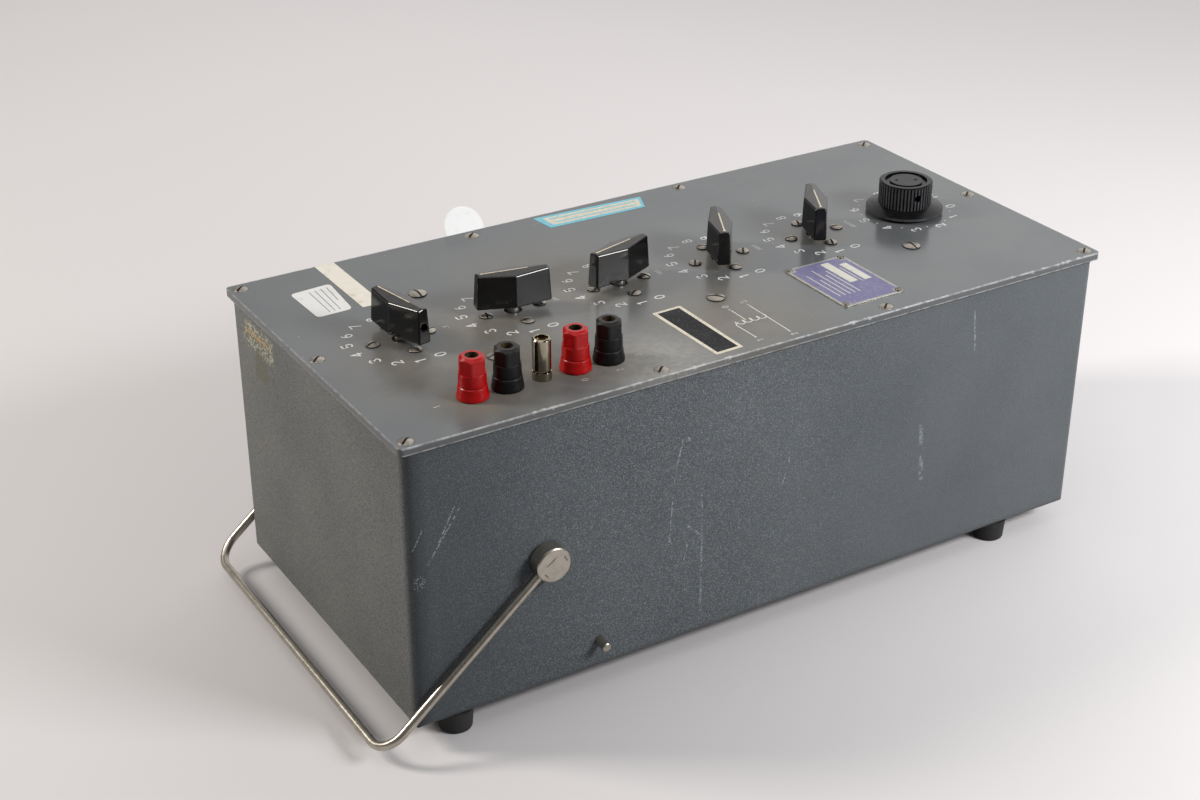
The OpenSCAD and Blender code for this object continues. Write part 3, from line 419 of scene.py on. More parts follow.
def panel_paint(name):
    """Smooth satin grey, dull and brown round the knobs and posts, darker toward the far edge, bare along its
    worn edges, which also carry painted highlights.
    """
    g = Graph(name, Specular_IOR_Level=0.5)
    g.round_edges(PANEL_EDGE)
    cloud = g.noise(55 * MM, detail=5.0)
    smears = g.noise(30 * MM, detail=2.0)
    rubs = g.noise(3 * MM, detail=4.0)
    hairs = g.noise(1.6 * MM, detail=2.0, place=g.stretched(22, 1, 1))
    specks = g.noise(2.5 * MM, detail=0.0)
    flecks = g.noise(3.5 * MM, detail=4.0)
    colour = g.mix(cloud.rise(0.3, 0.7), PANEL_GREY, PANEL_PALE)

    # Grime and dust, and darker toward the far edge
    spots = [(on_panel(x, y), reach, strength) for x, y, reach, strength in GRIME_SPOTS]
    spots += [(axis, *KNOB_GRIME) for axis in knob_axes] + [(axis, *POST_GRIME) for axis in post_axes]
    spots = [g.near_point(at, reach * MM) * strength for at, reach, strength in spots]
    grime = functools.reduce(Value.atleast, spots)
    colour = g.mix(grime * smears.rise(0.15, 0.6) * rubs.rise(0.2, 0.7, 0.75, 1.0), colour, PANEL_GRIME)
    blotches = g.noise(9 * MM, detail=3.0).rise(0.50, 0.60) * grime * rubs.rise(0.3, 0.6)
    colour = g.mix(blotches * 0.55, colour, PANEL_BROWN)
    dust = g.near_point(on_panel(*DUST_PLACE), DUST_REACH * MM) * rubs.rise(0.25, 0.7, 0.5, 0.9)
    colour = g.mix(dust, colour, PANEL_DUST)
    # Darker toward the far edge
    colour = g.mix(g.y.rise(0, panel_high.y) * 0.3, colour, PANEL_DEEP)

    # Hairlines, specks, and worn edges that also carry painted highlights
    colour = g.mix(hairs.rise(0.66, 0.76) * smears.rise(0.5, 0.7) * 0.2, colour, PANEL_BARE)
    colour = g.mix(specks.rise(0.80, 0.84) * 0.5, colour, PANEL_SPECK)
    wear = specks.rise(0.84, 0.86) * 0.3
    # Painted highlights: pale lines along the top and bottom of every edge, as worn bare metal
    for along, side, strength in ((g.y, panel_low.y, NEAR_WEAR_AND_HIGHLIGHT), (g.y, panel_high.y, FAR_WEAR_AND_HIGHLIGHT),
                                  (g.x, panel_low.x, END_WEAR_AND_HIGHLIGHT), (g.x, panel_high.x, END_WEAR_AND_HIGHLIGHT)):
        for height in (panel_low.z, panel_high.z):
            line = g.distance(along - side, g.z - height).rise(*past(0, EDGE_LINE_REACH), strength, 0)
            wear = wear.atleast(line)
    chips = g.distance(g.y - panel_low.y, g.z - panel_high.z).rise(*past(0, CHIP_REACH), 1, 0)
    wear = wear.atleast(chips * flecks.rise(0.56, 0.62) * smears.rise(0.48, 0.56))
    colour = g.mix(wear * flecks.rise(0.34, 0.62, 0.3, 1.0), colour, PANEL_BARE)
    g.set("Base_Color", colour)
    first, last = (post_axes[i].xy + DULL_SHIFT for i in (0, -1))
    dull = g.near_line(g.x, g.y, first, last, DULL_W)
    g.set("Roughness", smears.rise(0.3, 0.7, 0.18, 0.21) + grime * 0.24 + dull * 0.28)
    g.bump(g.noise(1.6 * MM, detail=2.0) + hairs * 0.2, PANEL_RELIEF)
    return g.material


# Finishes of metal

METAL_STAIN = (0.16, 0.12, 0.09)
METAL_DIRT_AND_SHADE = (0.03, 0.026, 0.022)
METAL_EDGE = 0.3 * MM
HOLLOW_SHADE_REACH = 1.6 * MM
# Painted shade: the slots of the screws are dark up to this height over the panel, and clean a little above
# it
SLOT_FLOOR = 0.75 * MM
SLOT_FADE = 1.1
# Dark scratches on the face of the bail's near boss: ends from its axis, as x and z, and width, in mm
BOSS_SCRATCHES = (((-4.5, 0.5), (1.0, 4.5)), ((5.5, 3.6), (7.0, 1.0)), ((-5.5, -3.5), (-3.8, -5.5)))
BOSS_SCRATCH_W = 0.5

COPPER_DARK = (0.07, 0.025, 0.01)
COPPER_BRIGHT = (0.42, 0.17, 0.06)
COPPER_VARNISH = (0.20, 0.10, 0.04)
WINDING_TURNS = 90
WINDING_RELIEF = 0.25 * MM


def plated(name, bright, dull, roughness, stain, uneven=0.12, grain=0.006, slotted=False, scratched=False):
    """Plated metal, clouded and scratched, with painted shade and dirt in its slots and corners. The grain is
    in mm.
    """
    g = Graph(name, Metallic=1.0)
    g.round_edges(METAL_EDGE)
    cloud = g.noise(4 * MM, detail=5.0)
    spots = g.noise(1.3 * MM, detail=3.0)
    colour = g.mix(cloud.rise(0.35, 0.7), bright, dull)
    colour = g.mix(spots.rise(0.6, 0.72) * stain, colour, METAL_STAIN)
    # Painted shade in slots and corners, standing also for dirt there
    dirt_and_shade = g.hollows(HOLLOW_SHADE_REACH)
    if scratched:
        on_boss = g.y.rise(case_low.y - MM, case_low.y, 0.8, 0)
        for ends in BOSS_SCRATCHES:
            start, end = ((boss_axis.x + x * MM, boss_axis.z + z * MM) for x, z in ends)
            line = g.near_line(g.x, g.z, start, end, BOSS_SCRATCH_W * MM) * on_boss
            dirt_and_shade = dirt_and_shade.atleast(line * spots.rise(0.35, 0.5))
    if slotted:
        # Painted shade on the floors of the slots
        low = g.z.rise(PANEL_Z + SLOT_FLOOR, PANEL_Z + SLOT_FADE * SLOT_FLOOR, 1, 0)
        dirt_and_shade = dirt_and_shade.atleast(g.facing_up(0.97, 0.99) * low)
        # Painted shade on the upright faces: the slots' walls and the sides of the heads
        dirt_and_shade = dirt_and_shade.atleast(1 - g.facing_up(0.3, 0.6))
    colour = g.mix(dirt_and_shade * 0.92, colour, METAL_DIRT_AND_SHADE)
    g.set("Base_Color", colour)
    g.set("Roughness", spots.rise(0.25, 0.75, roughness - uneven / 2, roughness + uneven) + dirt_and_shade * 0.2)
    g.bump(g.noise(0.35 * MM, detail=2.0, place=g.stretched(1, 8, 1)), grain * MM)
    return g.material


def winding(name):
    """Varnished copper turns laid side by side round each iron ring."""
    g = Graph(name, Metallic=0.7)
    angle = g.math("ARCTAN2", g.y, g.row(knob_axes, KNOB_PITCH))
    turns = g.math("SINE", angle * WINDING_TURNS)
    colour = g.mix(turns.rise(-0.9, 0.4), COPPER_DARK, COPPER_BRIGHT)
    colour = g.mix(g.noise(9 * MM).rise(0.4, 0.7) * 0.5, colour, COPPER_VARNISH)
    g.set("Base_Color", colour)
    g.set("Roughness", g.noise(5 * MM).rise(0.3, 0.7, 0.25, 0.42))
    g.bump(turns, WINDING_RELIEF)
    return g.material


# Finishes of plastic, rubber and fibre

BLACK_DUST = (0.075, 0.067, 0.056)
RED_DUST = (0.26, 0.04, 0.03)
MOUTH_SHADE = (0.022, 0.015, 0.010)
MOUTH_SHADE_BROWN = (0.06, 0.042, 0.025)
MOUTH_EDGE = 0.1 * MM
ROUGHEST = 0.9
# Radius of the open mouth of a post's cap, down which shade is painted, and radii at the foot and the top of
# the dial's flutes, between which highlights are painted
POST_MOUTH = 3.4 * MM
DIAL_HIGHLIT_RIDGES = (14.95 * MM, 15.25 * MM)


def moulded(name, body, scuff, roughness, dust, dust_colour=BLACK_DUST, edge_r=0.4, mouth=None, gloss=0.3,
            uneven=0.12, relief=0.012, soft=True, highlit_ridges=None):
    """Moulded plastic, scuffed on its edges and dusty where it looks up, with painted shade down a post's
    mouth and painted highlights on flute ridges where asked. Edge radius and relief are in mm.
    """
    g = Graph(name, Specular_IOR_Level=gloss)
    edge = g.round_edges(edge_r * MM, soft)
    up = g.facing_up()
    scratches = g.noise(0.7 * MM, detail=3.0, place=g.stretched(1, 1, 5))
    patches = g.noise(5 * MM, detail=4.0)
    colour = g.mix(edge * patches.rise(0.42, 0.66) * 0.6, body, scuff)
    colour = g.mix(scratches.rise(0.62, 0.74) * patches.rise(0.4, 0.6) * 0.45, colour, scuff)
    dusty = up * dust
    colour = g.mix(dusty * g.noise(2.5 * MM, detail=5.0).rise(0.25, 0.7), colour, dust_colour)
    if highlit_ridges:
        # Painted highlights on the ridges of the dial's flutes, on upright faces
        ridge_highlight = g.distance(g.x - dial_axis.x, g.y - dial_axis.y).rise(*highlit_ridges)
        colour = g.mix(ridge_highlight * (1 - up) * patches.rise(0.2, 0.6, 0.6, 1.0), colour, scuff)
    if mouth:
        # Painted shade down the bore of a post's mouth
        off = g.distance(g.row(post_axes, POST_PITCH), g.y - post_axes[0].y)
        brown = g.mix(patches.rise(0.4, 0.6), MOUTH_SHADE, MOUTH_SHADE_BROWN)
        colour = g.mix(off.rise(mouth, mouth + MOUTH_EDGE, 1, 0), colour, brown)
    g.set("Base_Color", colour)
    rough = patches.rise(0.3, 0.75, roughness - uneven / 2, roughness + uneven)
    g.set("Roughness", (rough + dusty * 0.18).upto(ROUGHEST))
    g.bump(scratches + g.noise(1.2 * MM), relief * MM)
    return g.material


def grained(name, first, second, size, roughness, metallic=0.0, depth=0.03, stretch=(1, 1, 1)):
    """A plain inner material with a grain. Its size and depth are in mm."""
    g = Graph(name, Metallic=metallic)
    grain = g.noise(size * MM, detail=5.0, place=g.stretched(*stretch))
    g.set("Base_Color", g.mix(grain.rise(0.3, 0.7), first, second))
    g.set("Roughness", grain.rise(0.3, 0.7, roughness - 0.08, roughness + 0.1))
    g.bump(grain, depth * MM)
    return g.material


# The record's material slots, and how the finish of each is made
FINISHES = {
    "case_paint": (case_paint, {}),
    "panel_paint": (panel_paint, {}),
    "screw_nickel": (plated, dict(
        bright=(0.47, 0.43, 0.38), dull=(0.34, 0.305, 0.265), roughness=0.36, stain=0.45, slotted=True)),
    "bail_nickel": (plated, dict(
        bright=(0.48, 0.445, 0.385), dull=(0.41, 0.375, 0.32), roughness=0.30, stain=0.04, uneven=0.06,
        grain=0.002, scratched=True)),
    "post_nickel": (plated, dict(
        bright=(0.35, 0.315, 0.235), dull=(0.30, 0.268, 0.20), roughness=0.13, stain=0.03, uneven=0.04,
        grain=0.001)),
    "inner_steel": (plated, dict(
        bright=(0.50, 0.50, 0.49), dull=(0.40, 0.40, 0.39), roughness=0.36, stain=0.10)),
    # Dark, stained brass: darkened as painted shade for the studs deep in the posts' mouths
    "brass": (plated, dict(
        bright=(0.36, 0.25, 0.105), dull=(0.22, 0.15, 0.06), roughness=0.40, stain=0.50)),
    "foot_rubber": (grained, dict(
        first=(0.014, 0.014, 0.014), second=(0.032, 0.031, 0.030), size=2.0, roughness=0.75)),
    "phenolic_brown": (grained, dict(
        first=(0.10, 0.045, 0.018), second=(0.17, 0.08, 0.035), size=3.0, roughness=0.5, stretch=(6, 6, 1))),
    "chassis_aluminium": (grained, dict(
        first=(0.62, 0.63, 0.64), second=(0.52, 0.53, 0.54), size=1.5, roughness=0.38, metallic=1.0,
        stretch=(20, 1, 1))),
    "winding": (winding, {}),
    "post_red": (moulded, dict(
        body=(0.38, 0.002, 0.003), scuff=(0.52, 0.055, 0.045), roughness=0.25, dust=0.18,
        dust_colour=RED_DUST, edge_r=0.3, mouth=POST_MOUTH, gloss=0.3, uneven=0.08, relief=0.006)),
    "post_black": (moulded, dict(
        body=(0.0035, 0.0035, 0.004), scuff=(0.060, 0.058, 0.053), roughness=0.38, dust=0.30,
        edge_r=0.3, mouth=POST_MOUTH, gloss=0.27, uneven=0.08, relief=0.006)),
    "washer_fibre": (grained, dict(
        first=(0.45, 0.38, 0.27), second=(0.56, 0.49, 0.36), size=1.2, roughness=0.8)),
    "knob_black": (moulded, dict(
        body=(0.0050, 0.0050, 0.0055), scuff=(0.035, 0.034, 0.033), roughness=0.11, dust=0.25,
        edge_r=0.5, gloss=0.5, uneven=0.02, relief=0.001, soft=False)),
    "dial_black": (moulded, dict(
        body=(0.004, 0.004, 0.0045), scuff=(0.06, 0.061, 0.064), roughness=0.26, dust=0.0,
        edge_r=0.25, gloss=0.2, uneven=0.06, relief=0.003, soft=False, highlit_ridges=DIAL_HIGHLIT_RIDGES)),
}
finishes = {slot: make(slot, **settings) for slot, (make, settings) in FINISHES.items()}

for node in nodes.values():
    packed = node.data.materials[0]
    node.data.materials[0] = finishes[packed.name.split(".")[0]]
for slot, finish in finishes.items():
    packed = bpy.data.materials.get(slot)
    if packed is not finish:
        bpy.data.materials.remove(packed)
        finish.name = slot


# Finishes of what lies on the panel

INK_RELIEF = 0.015 * MM


def printed(name, ink, worn, amount, roughness=0.5, size=1.6, gloss=0.25):
    """Paint, ink or paper, worn away or soiled in patches. Their size is in mm."""
    g = Graph(name, Roughness=roughness, Specular_IOR_Level=gloss)
    wear = g.noise(size * MM, detail=5.0)
    colour = g.mix(wear.rise(0.62 - 0.3 * amount, 0.80 - 0.3 * amount), ink, worn)
    g.set("Base_Color", g.mix(g.noise(7 * MM, detail=3.0).rise(0.4, 0.8) * amount, colour, worn))
    g.bump(wear, INK_RELIEF)
    return g.material


white_paint = printed("white_paint", (0.60, 0.60, 0.585), (0.27, 0.27, 0.265), amount=0.10)
faded_paint = printed("faded_paint", (0.45, 0.45, 0.44), (0.24, 0.24, 0.235), amount=0.25)
pointer_paint = printed("pointer_paint", (0.64, 0.56, 0.43), (0.40, 0.32, 0.22), amount=0.30)
index_paint = printed("index_paint", (0.007, 0.007, 0.007), (0.02, 0.02, 0.02), amount=0.4)
plate_silver = plated("plate_silver", (0.50, 0.49, 0.455), (0.42, 0.41, 0.38), roughness=0.46, stain=0.12)
plate_blue = printed("plate_blue", (0.125, 0.119, 0.235), (0.20, 0.19, 0.29), amount=0.35, roughness=0.36)
rivet_steel = plated("rivet_steel", (0.24, 0.22, 0.195), (0.15, 0.138, 0.122), roughness=0.34, stain=0.4)
plate_box = printed("plate_box", (0.56, 0.55, 0.49), (0.44, 0.42, 0.36), amount=0.35, roughness=0.45)
label_black = printed("label_black", (0.016, 0.016, 0.018), (0.05, 0.05, 0.05), amount=0.3, roughness=0.6,
                      gloss=0.15)
label_cream = printed("label_cream", (0.60, 0.56, 0.46), (0.42, 0.38, 0.30), amount=0.35)
paper_white = printed("paper_white", (0.64, 0.64, 0.635), (0.52, 0.51, 0.49), amount=0.2, roughness=0.6,
                      size=4.0)
paper_rule = printed("paper_rule", (0.13, 0.13, 0.15), (0.25, 0.25, 0.26), amount=0.3, roughness=0.6)
tape_cream = printed("tape_cream", (0.66, 0.63, 0.56), (0.50, 0.45, 0.36), amount=0.25, roughness=0.62,
                     size=5.0)
label_cyan = printed("label_cyan", (0.13, 0.44, 0.55), (0.25, 0.46, 0.52), amount=0.35, roughness=0.42)
seal_white = printed("seal_white", (0.94, 0.94, 0.94), (0.86, 0.86, 0.86), amount=0.15, size=4.0)


# Meshes

# Signs of the corners of a rectangle, in turn
SQUARE = ((-1, -1), (1, -1), (1, 1), (-1, 1))
# A stroke isn't drawn out at a sharp corner by more than one over this
MITRE = 0.55
# A stroke whose ends are nearer than this share of its width is a closed one
CLOSED_GAP = 0.25
# Strokes of one piece lie at a few heights in turn, so that no two that cross are level
STROKE_LEVELS = 5
STROKE_STEP = 0.004 * MM


def piece(name, shape, finish, body):
    """Makes a piece of a mesh in the row frame. It moves with a body."""
    bmesh.ops.recalc_face_normals(shape, faces=shape.faces)
    mesh = bpy.data.meshes.new(name)
    shape.to_mesh(mesh)
    shape.free()
    made = bpy.data.objects.new(name, mesh)
    bpy.context.scene.collection.objects.link(made)
    mesh.materials.append(finish)
    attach(made, body)


def join(shape, first, second):
    """Adds the band of faces between two closed rings of vertices."""
    for i, corner in enumerate(first):
        j = (i + 1) % len(first)
        shape.faces.new((corner, first[j], second[j], second[i]))


def prism(shape, outline, low, high):
    """Adds a closed prism on a flat outline of (x, y) points."""
    bottom, top = ([shape.verts.new((p[0], p[1], height)) for p in outline] for height in (low, high))
    shape.faces.new(top)
    shape.faces.new(bottom[::-1])
    join(shape, bottom, top)


def turned_piece(shape, place, profile, steps=20):
    """Adds a closed solid of revolution on an upright axis. Its profile, in mm, runs from the axis down."""
    rings = []
    for radius, height in profile:
        around = [polar(radius * MM, 360 * s / steps) for s in range(steps if radius else 1)]
        rings.append([shape.verts.new(place + Vector((*p, height * MM))) for p in around])
    apex = rings[0][0]
    for i, corner in enumerate(rings[1]):
        shape.faces.new((apex, corner, rings[1][(i + 1) % steps]))
    for first, second in zip(rings[1:], rings[2:]):
        join(shape, first, second)
    shape.faces.new(rings[-1])


def rounded(points, radius, steps=5):
    """Outline of a polygon with its corners rounded."""
    outline = []
    for i, corner in enumerate(points):
        back = (points[i - 1] - corner).normalized() * radius
        ahead = (points[(i + 1) % len(points)] - corner).normalized() * radius
        for s in range(steps + 1):
            t = s / steps
            outline.append(corner + back * (1 - t) ** 2 + ahead * t ** 2)
    return outline


def ribbon(path, width, closed=False, cap_steps=6):
    """Outline of a drawn stroke of even width with round ends, or the two outlines of a closed one."""
    points = [Vector(p) for p in path]
    count = len(points)
    left, right = [], []
    for i, point in enumerate(points):
        before = points[i - 1] if closed or i else None
        after = points[(i + 1) % count] if closed or i < count - 1 else None
        into = (point - before).normalized() if before else (after - point).normalized()
        onward = (after - point).normalized() if after else into
        aside = Vector((-(into.y + onward.y), into.x + onward.x)).normalized()
        reach = width / 2 / max(aside.dot(Vector((-into.y, into.x))), MITRE)
        left.append(point + aside * reach)
        right.append(point - aside * reach)
    if closed:
        return left, right
    caps = []
    for tip, inner in ((points[-1], points[-2]), (points[0], points[1])):
        onward = (tip - inner).normalized()
        aside = Vector((-onward.y, onward.x))
        angles = [math.pi / 2 - math.pi * s / cap_steps for s in range(1, cap_steps)]
        caps.append([tip + (aside * math.sin(a) + onward * math.cos(a)) * width / 2 for a in angles])
    return left + caps[0] + right[::-1] + caps[1]


def drawn(shape, paths, width, low, top):
    """Adds strokes as flat closed solids, from one height to about another."""
    for n, path in enumerate(paths):
        high = top + n % STROKE_LEVELS * STROKE_STEP
        if (Vector(path[0]) - Vector(path[-1])).length > width * CLOSED_GAP:
            prism(shape, ribbon(path, width), low, high)
            continue
        outer, inner = ribbon(path[:-1], width, closed=True)
        rings = [[shape.verts.new((p[0], p[1], height)) for p in ring]
                 for ring, height in ((outer, low), (outer, high), (inner, high), (inner, low))]
        for first, second in zip(rings, rings[1:] + rings[:1]):
            join(shape, first, second)


# Figures drawn with strokes, on a box 0.6 wide and 1 high


def bow(x, y, rx, ry, start, end, steps=14):
    """Points on an arc of an ellipse, between two angles in degrees."""
    angles = [math.radians(start + (end - start) * s / steps) for s in range(steps + 1)]
    return [(x + rx * math.cos(a), y + ry * math.sin(a)) for a in angles]


def loop(x, y, rx, ry):
    return bow(x, y, rx, ry, 0, 360, 22)


def dot(x, y, radius, steps=6):
    """An open ring, so small that its own stroke fills it."""
    return bow(x, y, radius, radius, 0, 300, steps)


GLYPHS = {
    "0": [loop(0.3, 0.5, 0.27, 0.46)],
    "1": [[(0.14, 0.80), (0.34, 0.96)], [(0.34, 0.96), (0.34, 0.04)]],
    "2": [bow(0.3, 0.70, 0.26, 0.26, 165, -38) + [(0.04, 0.04), (0.57, 0.04)]],
    "3": [bow(0.28, 0.735, 0.25, 0.225, 150, -82) + bow(0.28, 0.27, 0.28, 0.235, 78, -150)],
    "4": [[(0.44, 0.04), (0.44, 0.96)], [(0.44, 0.96), (0.03, 0.30)], [(0.03, 0.30), (0.58, 0.30)]],
    "5": [[(0.53, 0.96), (0.12, 0.96), (0.08, 0.55)] + bow(0.29, 0.33, 0.27, 0.29, 132, -145)],
    "6": [bow(0.58, 0.36, 0.54, 0.60, 108, 180, 8), loop(0.3, 0.31, 0.26, 0.27)],
    "7": [[(0.04, 0.96), (0.57, 0.96), (0.22, 0.04)]],
    "8": [loop(0.3, 0.74, 0.22, 0.22), loop(0.3, 0.28, 0.27, 0.245)],
    "9": [bow(0.02, 0.64, 0.54, 0.60, -72, 0, 8), loop(0.3, 0.69, 0.26, 0.27)],
    ".": [dot(0.3, 0.06, 0.05)],
}
GLYPH_W = 0.6
POINT_W = 0.22
GLYPH_GAP = 0.24
PAINT_T = 0.05


def written(text, x, y, height):
    """Strokes of a number on the panel, read from the left end. Its middle and height are in metres."""
    widths = [POINT_W if c == "." else GLYPH_W for c in text]
    at = -(sum(widths) + GLYPH_GAP * (len(text) - 1)) / 2
    paths = []
    for c, width in zip(text, widths):
        shift = at + (width - GLYPH_W) / 2
        paths += [[(x - (v - 0.5) * height, y + (shift + u) * height) for u, v in path] for path in GLYPHS[c]]
        at += width + GLYPH_GAP
    return paths


def painted(name, paths, width, finish):
    """Strokes of paint on the panel. The width is in millimetres."""
    shape = bmesh.new()
    drawn(shape, paths, width * MM, PANEL_Z, PANEL_Z + PAINT_T * MM)
    piece(name, shape, finish, "root")


# Figures round the knobs

FIGURE_H = 6.0 * MM
FIGURE_STROKE = 0.8
FIGURE_RING = 27.9 * MM
DIAL_RING = 28.8 * MM
DOT_RING = 26.4 * MM
DOT_R = 0.25 * MM
DOT_STROKE = 0.45


def ring_of_figures(name, axis, ring, zero, step, figures):
    paths = []
    for n, figure in enumerate(figures):
        place = axis.xy + polar(ring, zero - step * n)
        paths += written(figure, place.x, place.y, FIGURE_H)
    painted(name, paths, FIGURE_STROKE, white_paint)


for n, axis in zip(NUMBERS, knob_axes):
    ring_of_figures("decade_figures_%d" % n, axis, FIGURE_RING, DECADE_ZERO, DECADE_STEP, "0123456789")
ring_of_figures("dial_figures", dial_axis, DIAL_RING, DIAL_ZERO, DIAL_STEP, [str(n) for n in range(11)])
dots = [dial_axis.xy + polar(DOT_RING, DIAL_ZERO - DIAL_STEP * (n + 0.5)) for n in range(10)]
painted("dial_dots", [dot(place.x, place.y, DOT_R) for place in dots], DOT_STROKE, white_paint)

# Small numbers beside the knobs and posts. Places are in mm from the middle of the panel
LEGEND_H = 2.5 * MM
LEGEND_SHIFT = 25.5 * MM
LEGEND_STROKE = 0.42
NUMBER_H = 3.6 * MM
POST_NUMBERS = (("1", -181.7, -75.6), ("0", -107.5, -88.2), ("2", -87.3, -87.9), ("3", -71.0, -78.6))
legends = []
for n, axis in zip(NUMBERS, knob_axes):
    legends += written("." + "0" * (n - 1) + "1", axis.x + LEGEND_SHIFT, axis.y, LEGEND_H)
for text, x, y in POST_NUMBERS:
    legends += written(text, *on_panel(x, y).xy, NUMBER_H)
painted("small_figures", legends, LEGEND_STROKE, faded_paint)

# Line diagram of a tapped coil, in mm from the middle of the panel
COIL_X = (-8.0, 9.7)
COIL_Y = -74.0
COIL_LOOPS = 4
LOOP_W = (COIL_X[1] - COIL_X[0]) / COIL_LOOPS
LOOP_RADII = (LOOP_W * 0.58, 2.6)
LOOP_TURN = (150, 390)
COIL_LINES = (
    [(-1.9, -59.1), (-1.9, -73.0)],
    [(9.7, -59.0), (9.7, -95.9)],
    *[bow(COIL_X[0] + (n + 0.5) * LOOP_W, COIL_Y, *LOOP_RADII, *LOOP_TURN) for n in range(COIL_LOOPS)],
    bow(-6.6, -77.0, 3.2, 3.0, 100, 180, 8) + [(-9.6, -80.0), (-9.2, -92.5)],
)
# Its ends: the number, the place of the dot, and the number's shift from it
COIL_ENDS = (("0", -1.9, -59.1, 4.2), ("3", 9.7, -59.0, 4.2),
             ("2", 9.7, -95.9, -4.0), ("1", -9.2, -92.5, -4.0))
COIL_STROKE = 0.55
END_R = 0.35 * MM
END_STROKE = 0.75
END_FIGURE_STROKE = 0.5
painted("coil_diagram", [[on_panel(*p).xy for p in path] for path in COIL_LINES], COIL_STROKE, white_paint)
end_dots, end_figures = [], []
for text, x, y, shift in COIL_ENDS:
    place = on_panel(x, y)
    end_dots.append(dot(place.x, place.y, END_R, 8))
    end_figures += written(text, place.x, place.y + shift * MM, NUMBER_H)
painted("coil_diagram_ends", end_dots, END_STROKE, white_paint)
painted("coil_diagram_figures", end_figures, END_FIGURE_STROKE, faded_paint)

# Pointer lines along the ridges of the bar knobs
RIDGE_R = 1.1 * MM
ROOF_SLOPE = math.radians(10)
POINTER_W = 0.75 * MM
POINTER_LIFT = 0.03 * MM
POINTER_STEPS = 8
# Places along a pointer line from the knob's axis, in mm, and its width there as a share of the full one
POINTER_STATIONS = ((-8.6, 0.3), (-8.2, 0.8), (-7.0, 0.9), (15.6, 1.0), (16.4, 1.7), (17.2, 1.7), (17.6, 0.8))


def roof(y):
    """Height of a bar knob's top beside its ridge, from the centre of the ridge's rounding."""
    y = abs(y)
    turn = RIDGE_R * math.sin(ROOF_SLOPE)
    if y <= turn:
        return math.sqrt(RIDGE_R ** 2 - y ** 2)
    return RIDGE_R * math.cos(ROOF_SLOPE) - (y - turn) * math.tan(ROOF_SLOPE)


def pointer(n, axis):
    """A line inlaid along the ridge of a bar knob, with a wider tip."""
    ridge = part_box("decade_knob_%d" % n)[1].z - RIDGE_R
    turn = Matrix.Translation((axis.x, axis.y, ridge)) @ Matrix.Rotation(math.radians(knob_angle(n)), 4, "Z")
    shape = bmesh.new()
    rings = []
    for along, share in POINTER_STATIONS:
        sides = [POINTER_W * share * (s / POINTER_STEPS - 0.5) for s in range(POINTER_STEPS + 1)]
        ring = [(y, roof(y) + POINTER_LIFT) for y in sides]
        ring += [(y, roof(y) - POINTER_LIFT) for y in sides[::-1]]
        rings.append([shape.verts.new(turn @ Vector((along * MM, y, z))) for y, z in ring])
    for first, second in zip(rings, rings[1:]):
        join(shape, first, second)
    shape.faces.new(rings[0])
    shape.faces.new(rings[-1])
    piece("pointer_line_%d" % n, shape, pointer_paint, "decade_%d" % n)


for n, axis in zip(NUMBERS, knob_axes):
    pointer(n, axis)

# Plate, labels and papers on the panel, in mm from its middle


def corners(*points):
    return [on_panel(*point).xy for point in points]


def rectangle(x, y, width, height):
    """Corners of an upright rectangle on the panel, from its middle and size."""
    return corners(*((x + i * width / 2, y + j * height / 2) for i, j in SQUARE))


def eared_rectangle(x, y, width, height, ear):
    """Corners of a rectangle whose corners step in, clear of the rivets."""
    w, h = width / 2, height / 2
    quarter = ((w, h - ear), (w - ear, h - ear), (w - ear, h))
    quarters = ((1, 1, quarter), (-1, 1, quarter[::-1]), (-1, -1, quarter), (1, -1, quarter[::-1]))
    return corners(*((x + i * u, y + j * v) for i, j, points in quarters for u, v in points))


def part_of(sheet, start, end, low, high):
    """The part of a four-cornered sheet between two shares of its length and two of its width."""
    a, b, c, d = sheet

    def at(u, v):
        return a.lerp(b, u).lerp(d.lerp(c, u), v)

    return [at(start, low), at(end, low), at(end, high), at(start, high)]


def sheets_on_panel(name, outlines, low, high, finish, corner, steps=5):
    """Thin flat pieces with rounded corners on the panel, between two heights."""
    shape = bmesh.new()
    for outline in outlines:
        prism(shape, rounded(outline, corner * MM, steps), PANEL_Z + low * MM, PANEL_Z + high * MM)
    piece(name, shape, finish, "root")


# A plate with a coloured field, two blank boxes and rules in place of text, and four rivets
PLATE = (70.4, -61.8)
PLATE_SIZE = (39.5, 54.5)
PLATE_RIM = 1.6
PLATE_EAR = 5.2
PLATE_T = 0.7
INK_T = 0.05
PLATE_FIELD = (*PLATE, PLATE_SIZE[0] - 2 * PLATE_RIM, PLATE_SIZE[1] - 2 * PLATE_RIM, PLATE_EAR - PLATE_RIM)
PLATE_BOXES = ((74.6, -52.0, 5.2, 27.0), (83.4, -55.0, 4.6, 23.0))
RULE_W = 0.55
PLATE_RULES = ((56.5, -62.0, 30.0), (59.8, -66.0, 22.0), (63.1, -60.0, 34.0), (66.4, -64.0, 26.0),
               (69.7, -62.0, 30.0), (79.0, -57.0, 20.0))
RIVETS = ((53.0, -36.2), (87.9, -36.2), (87.9, -86.4), (53.0, -86.4))
RIVET_R = 1.9
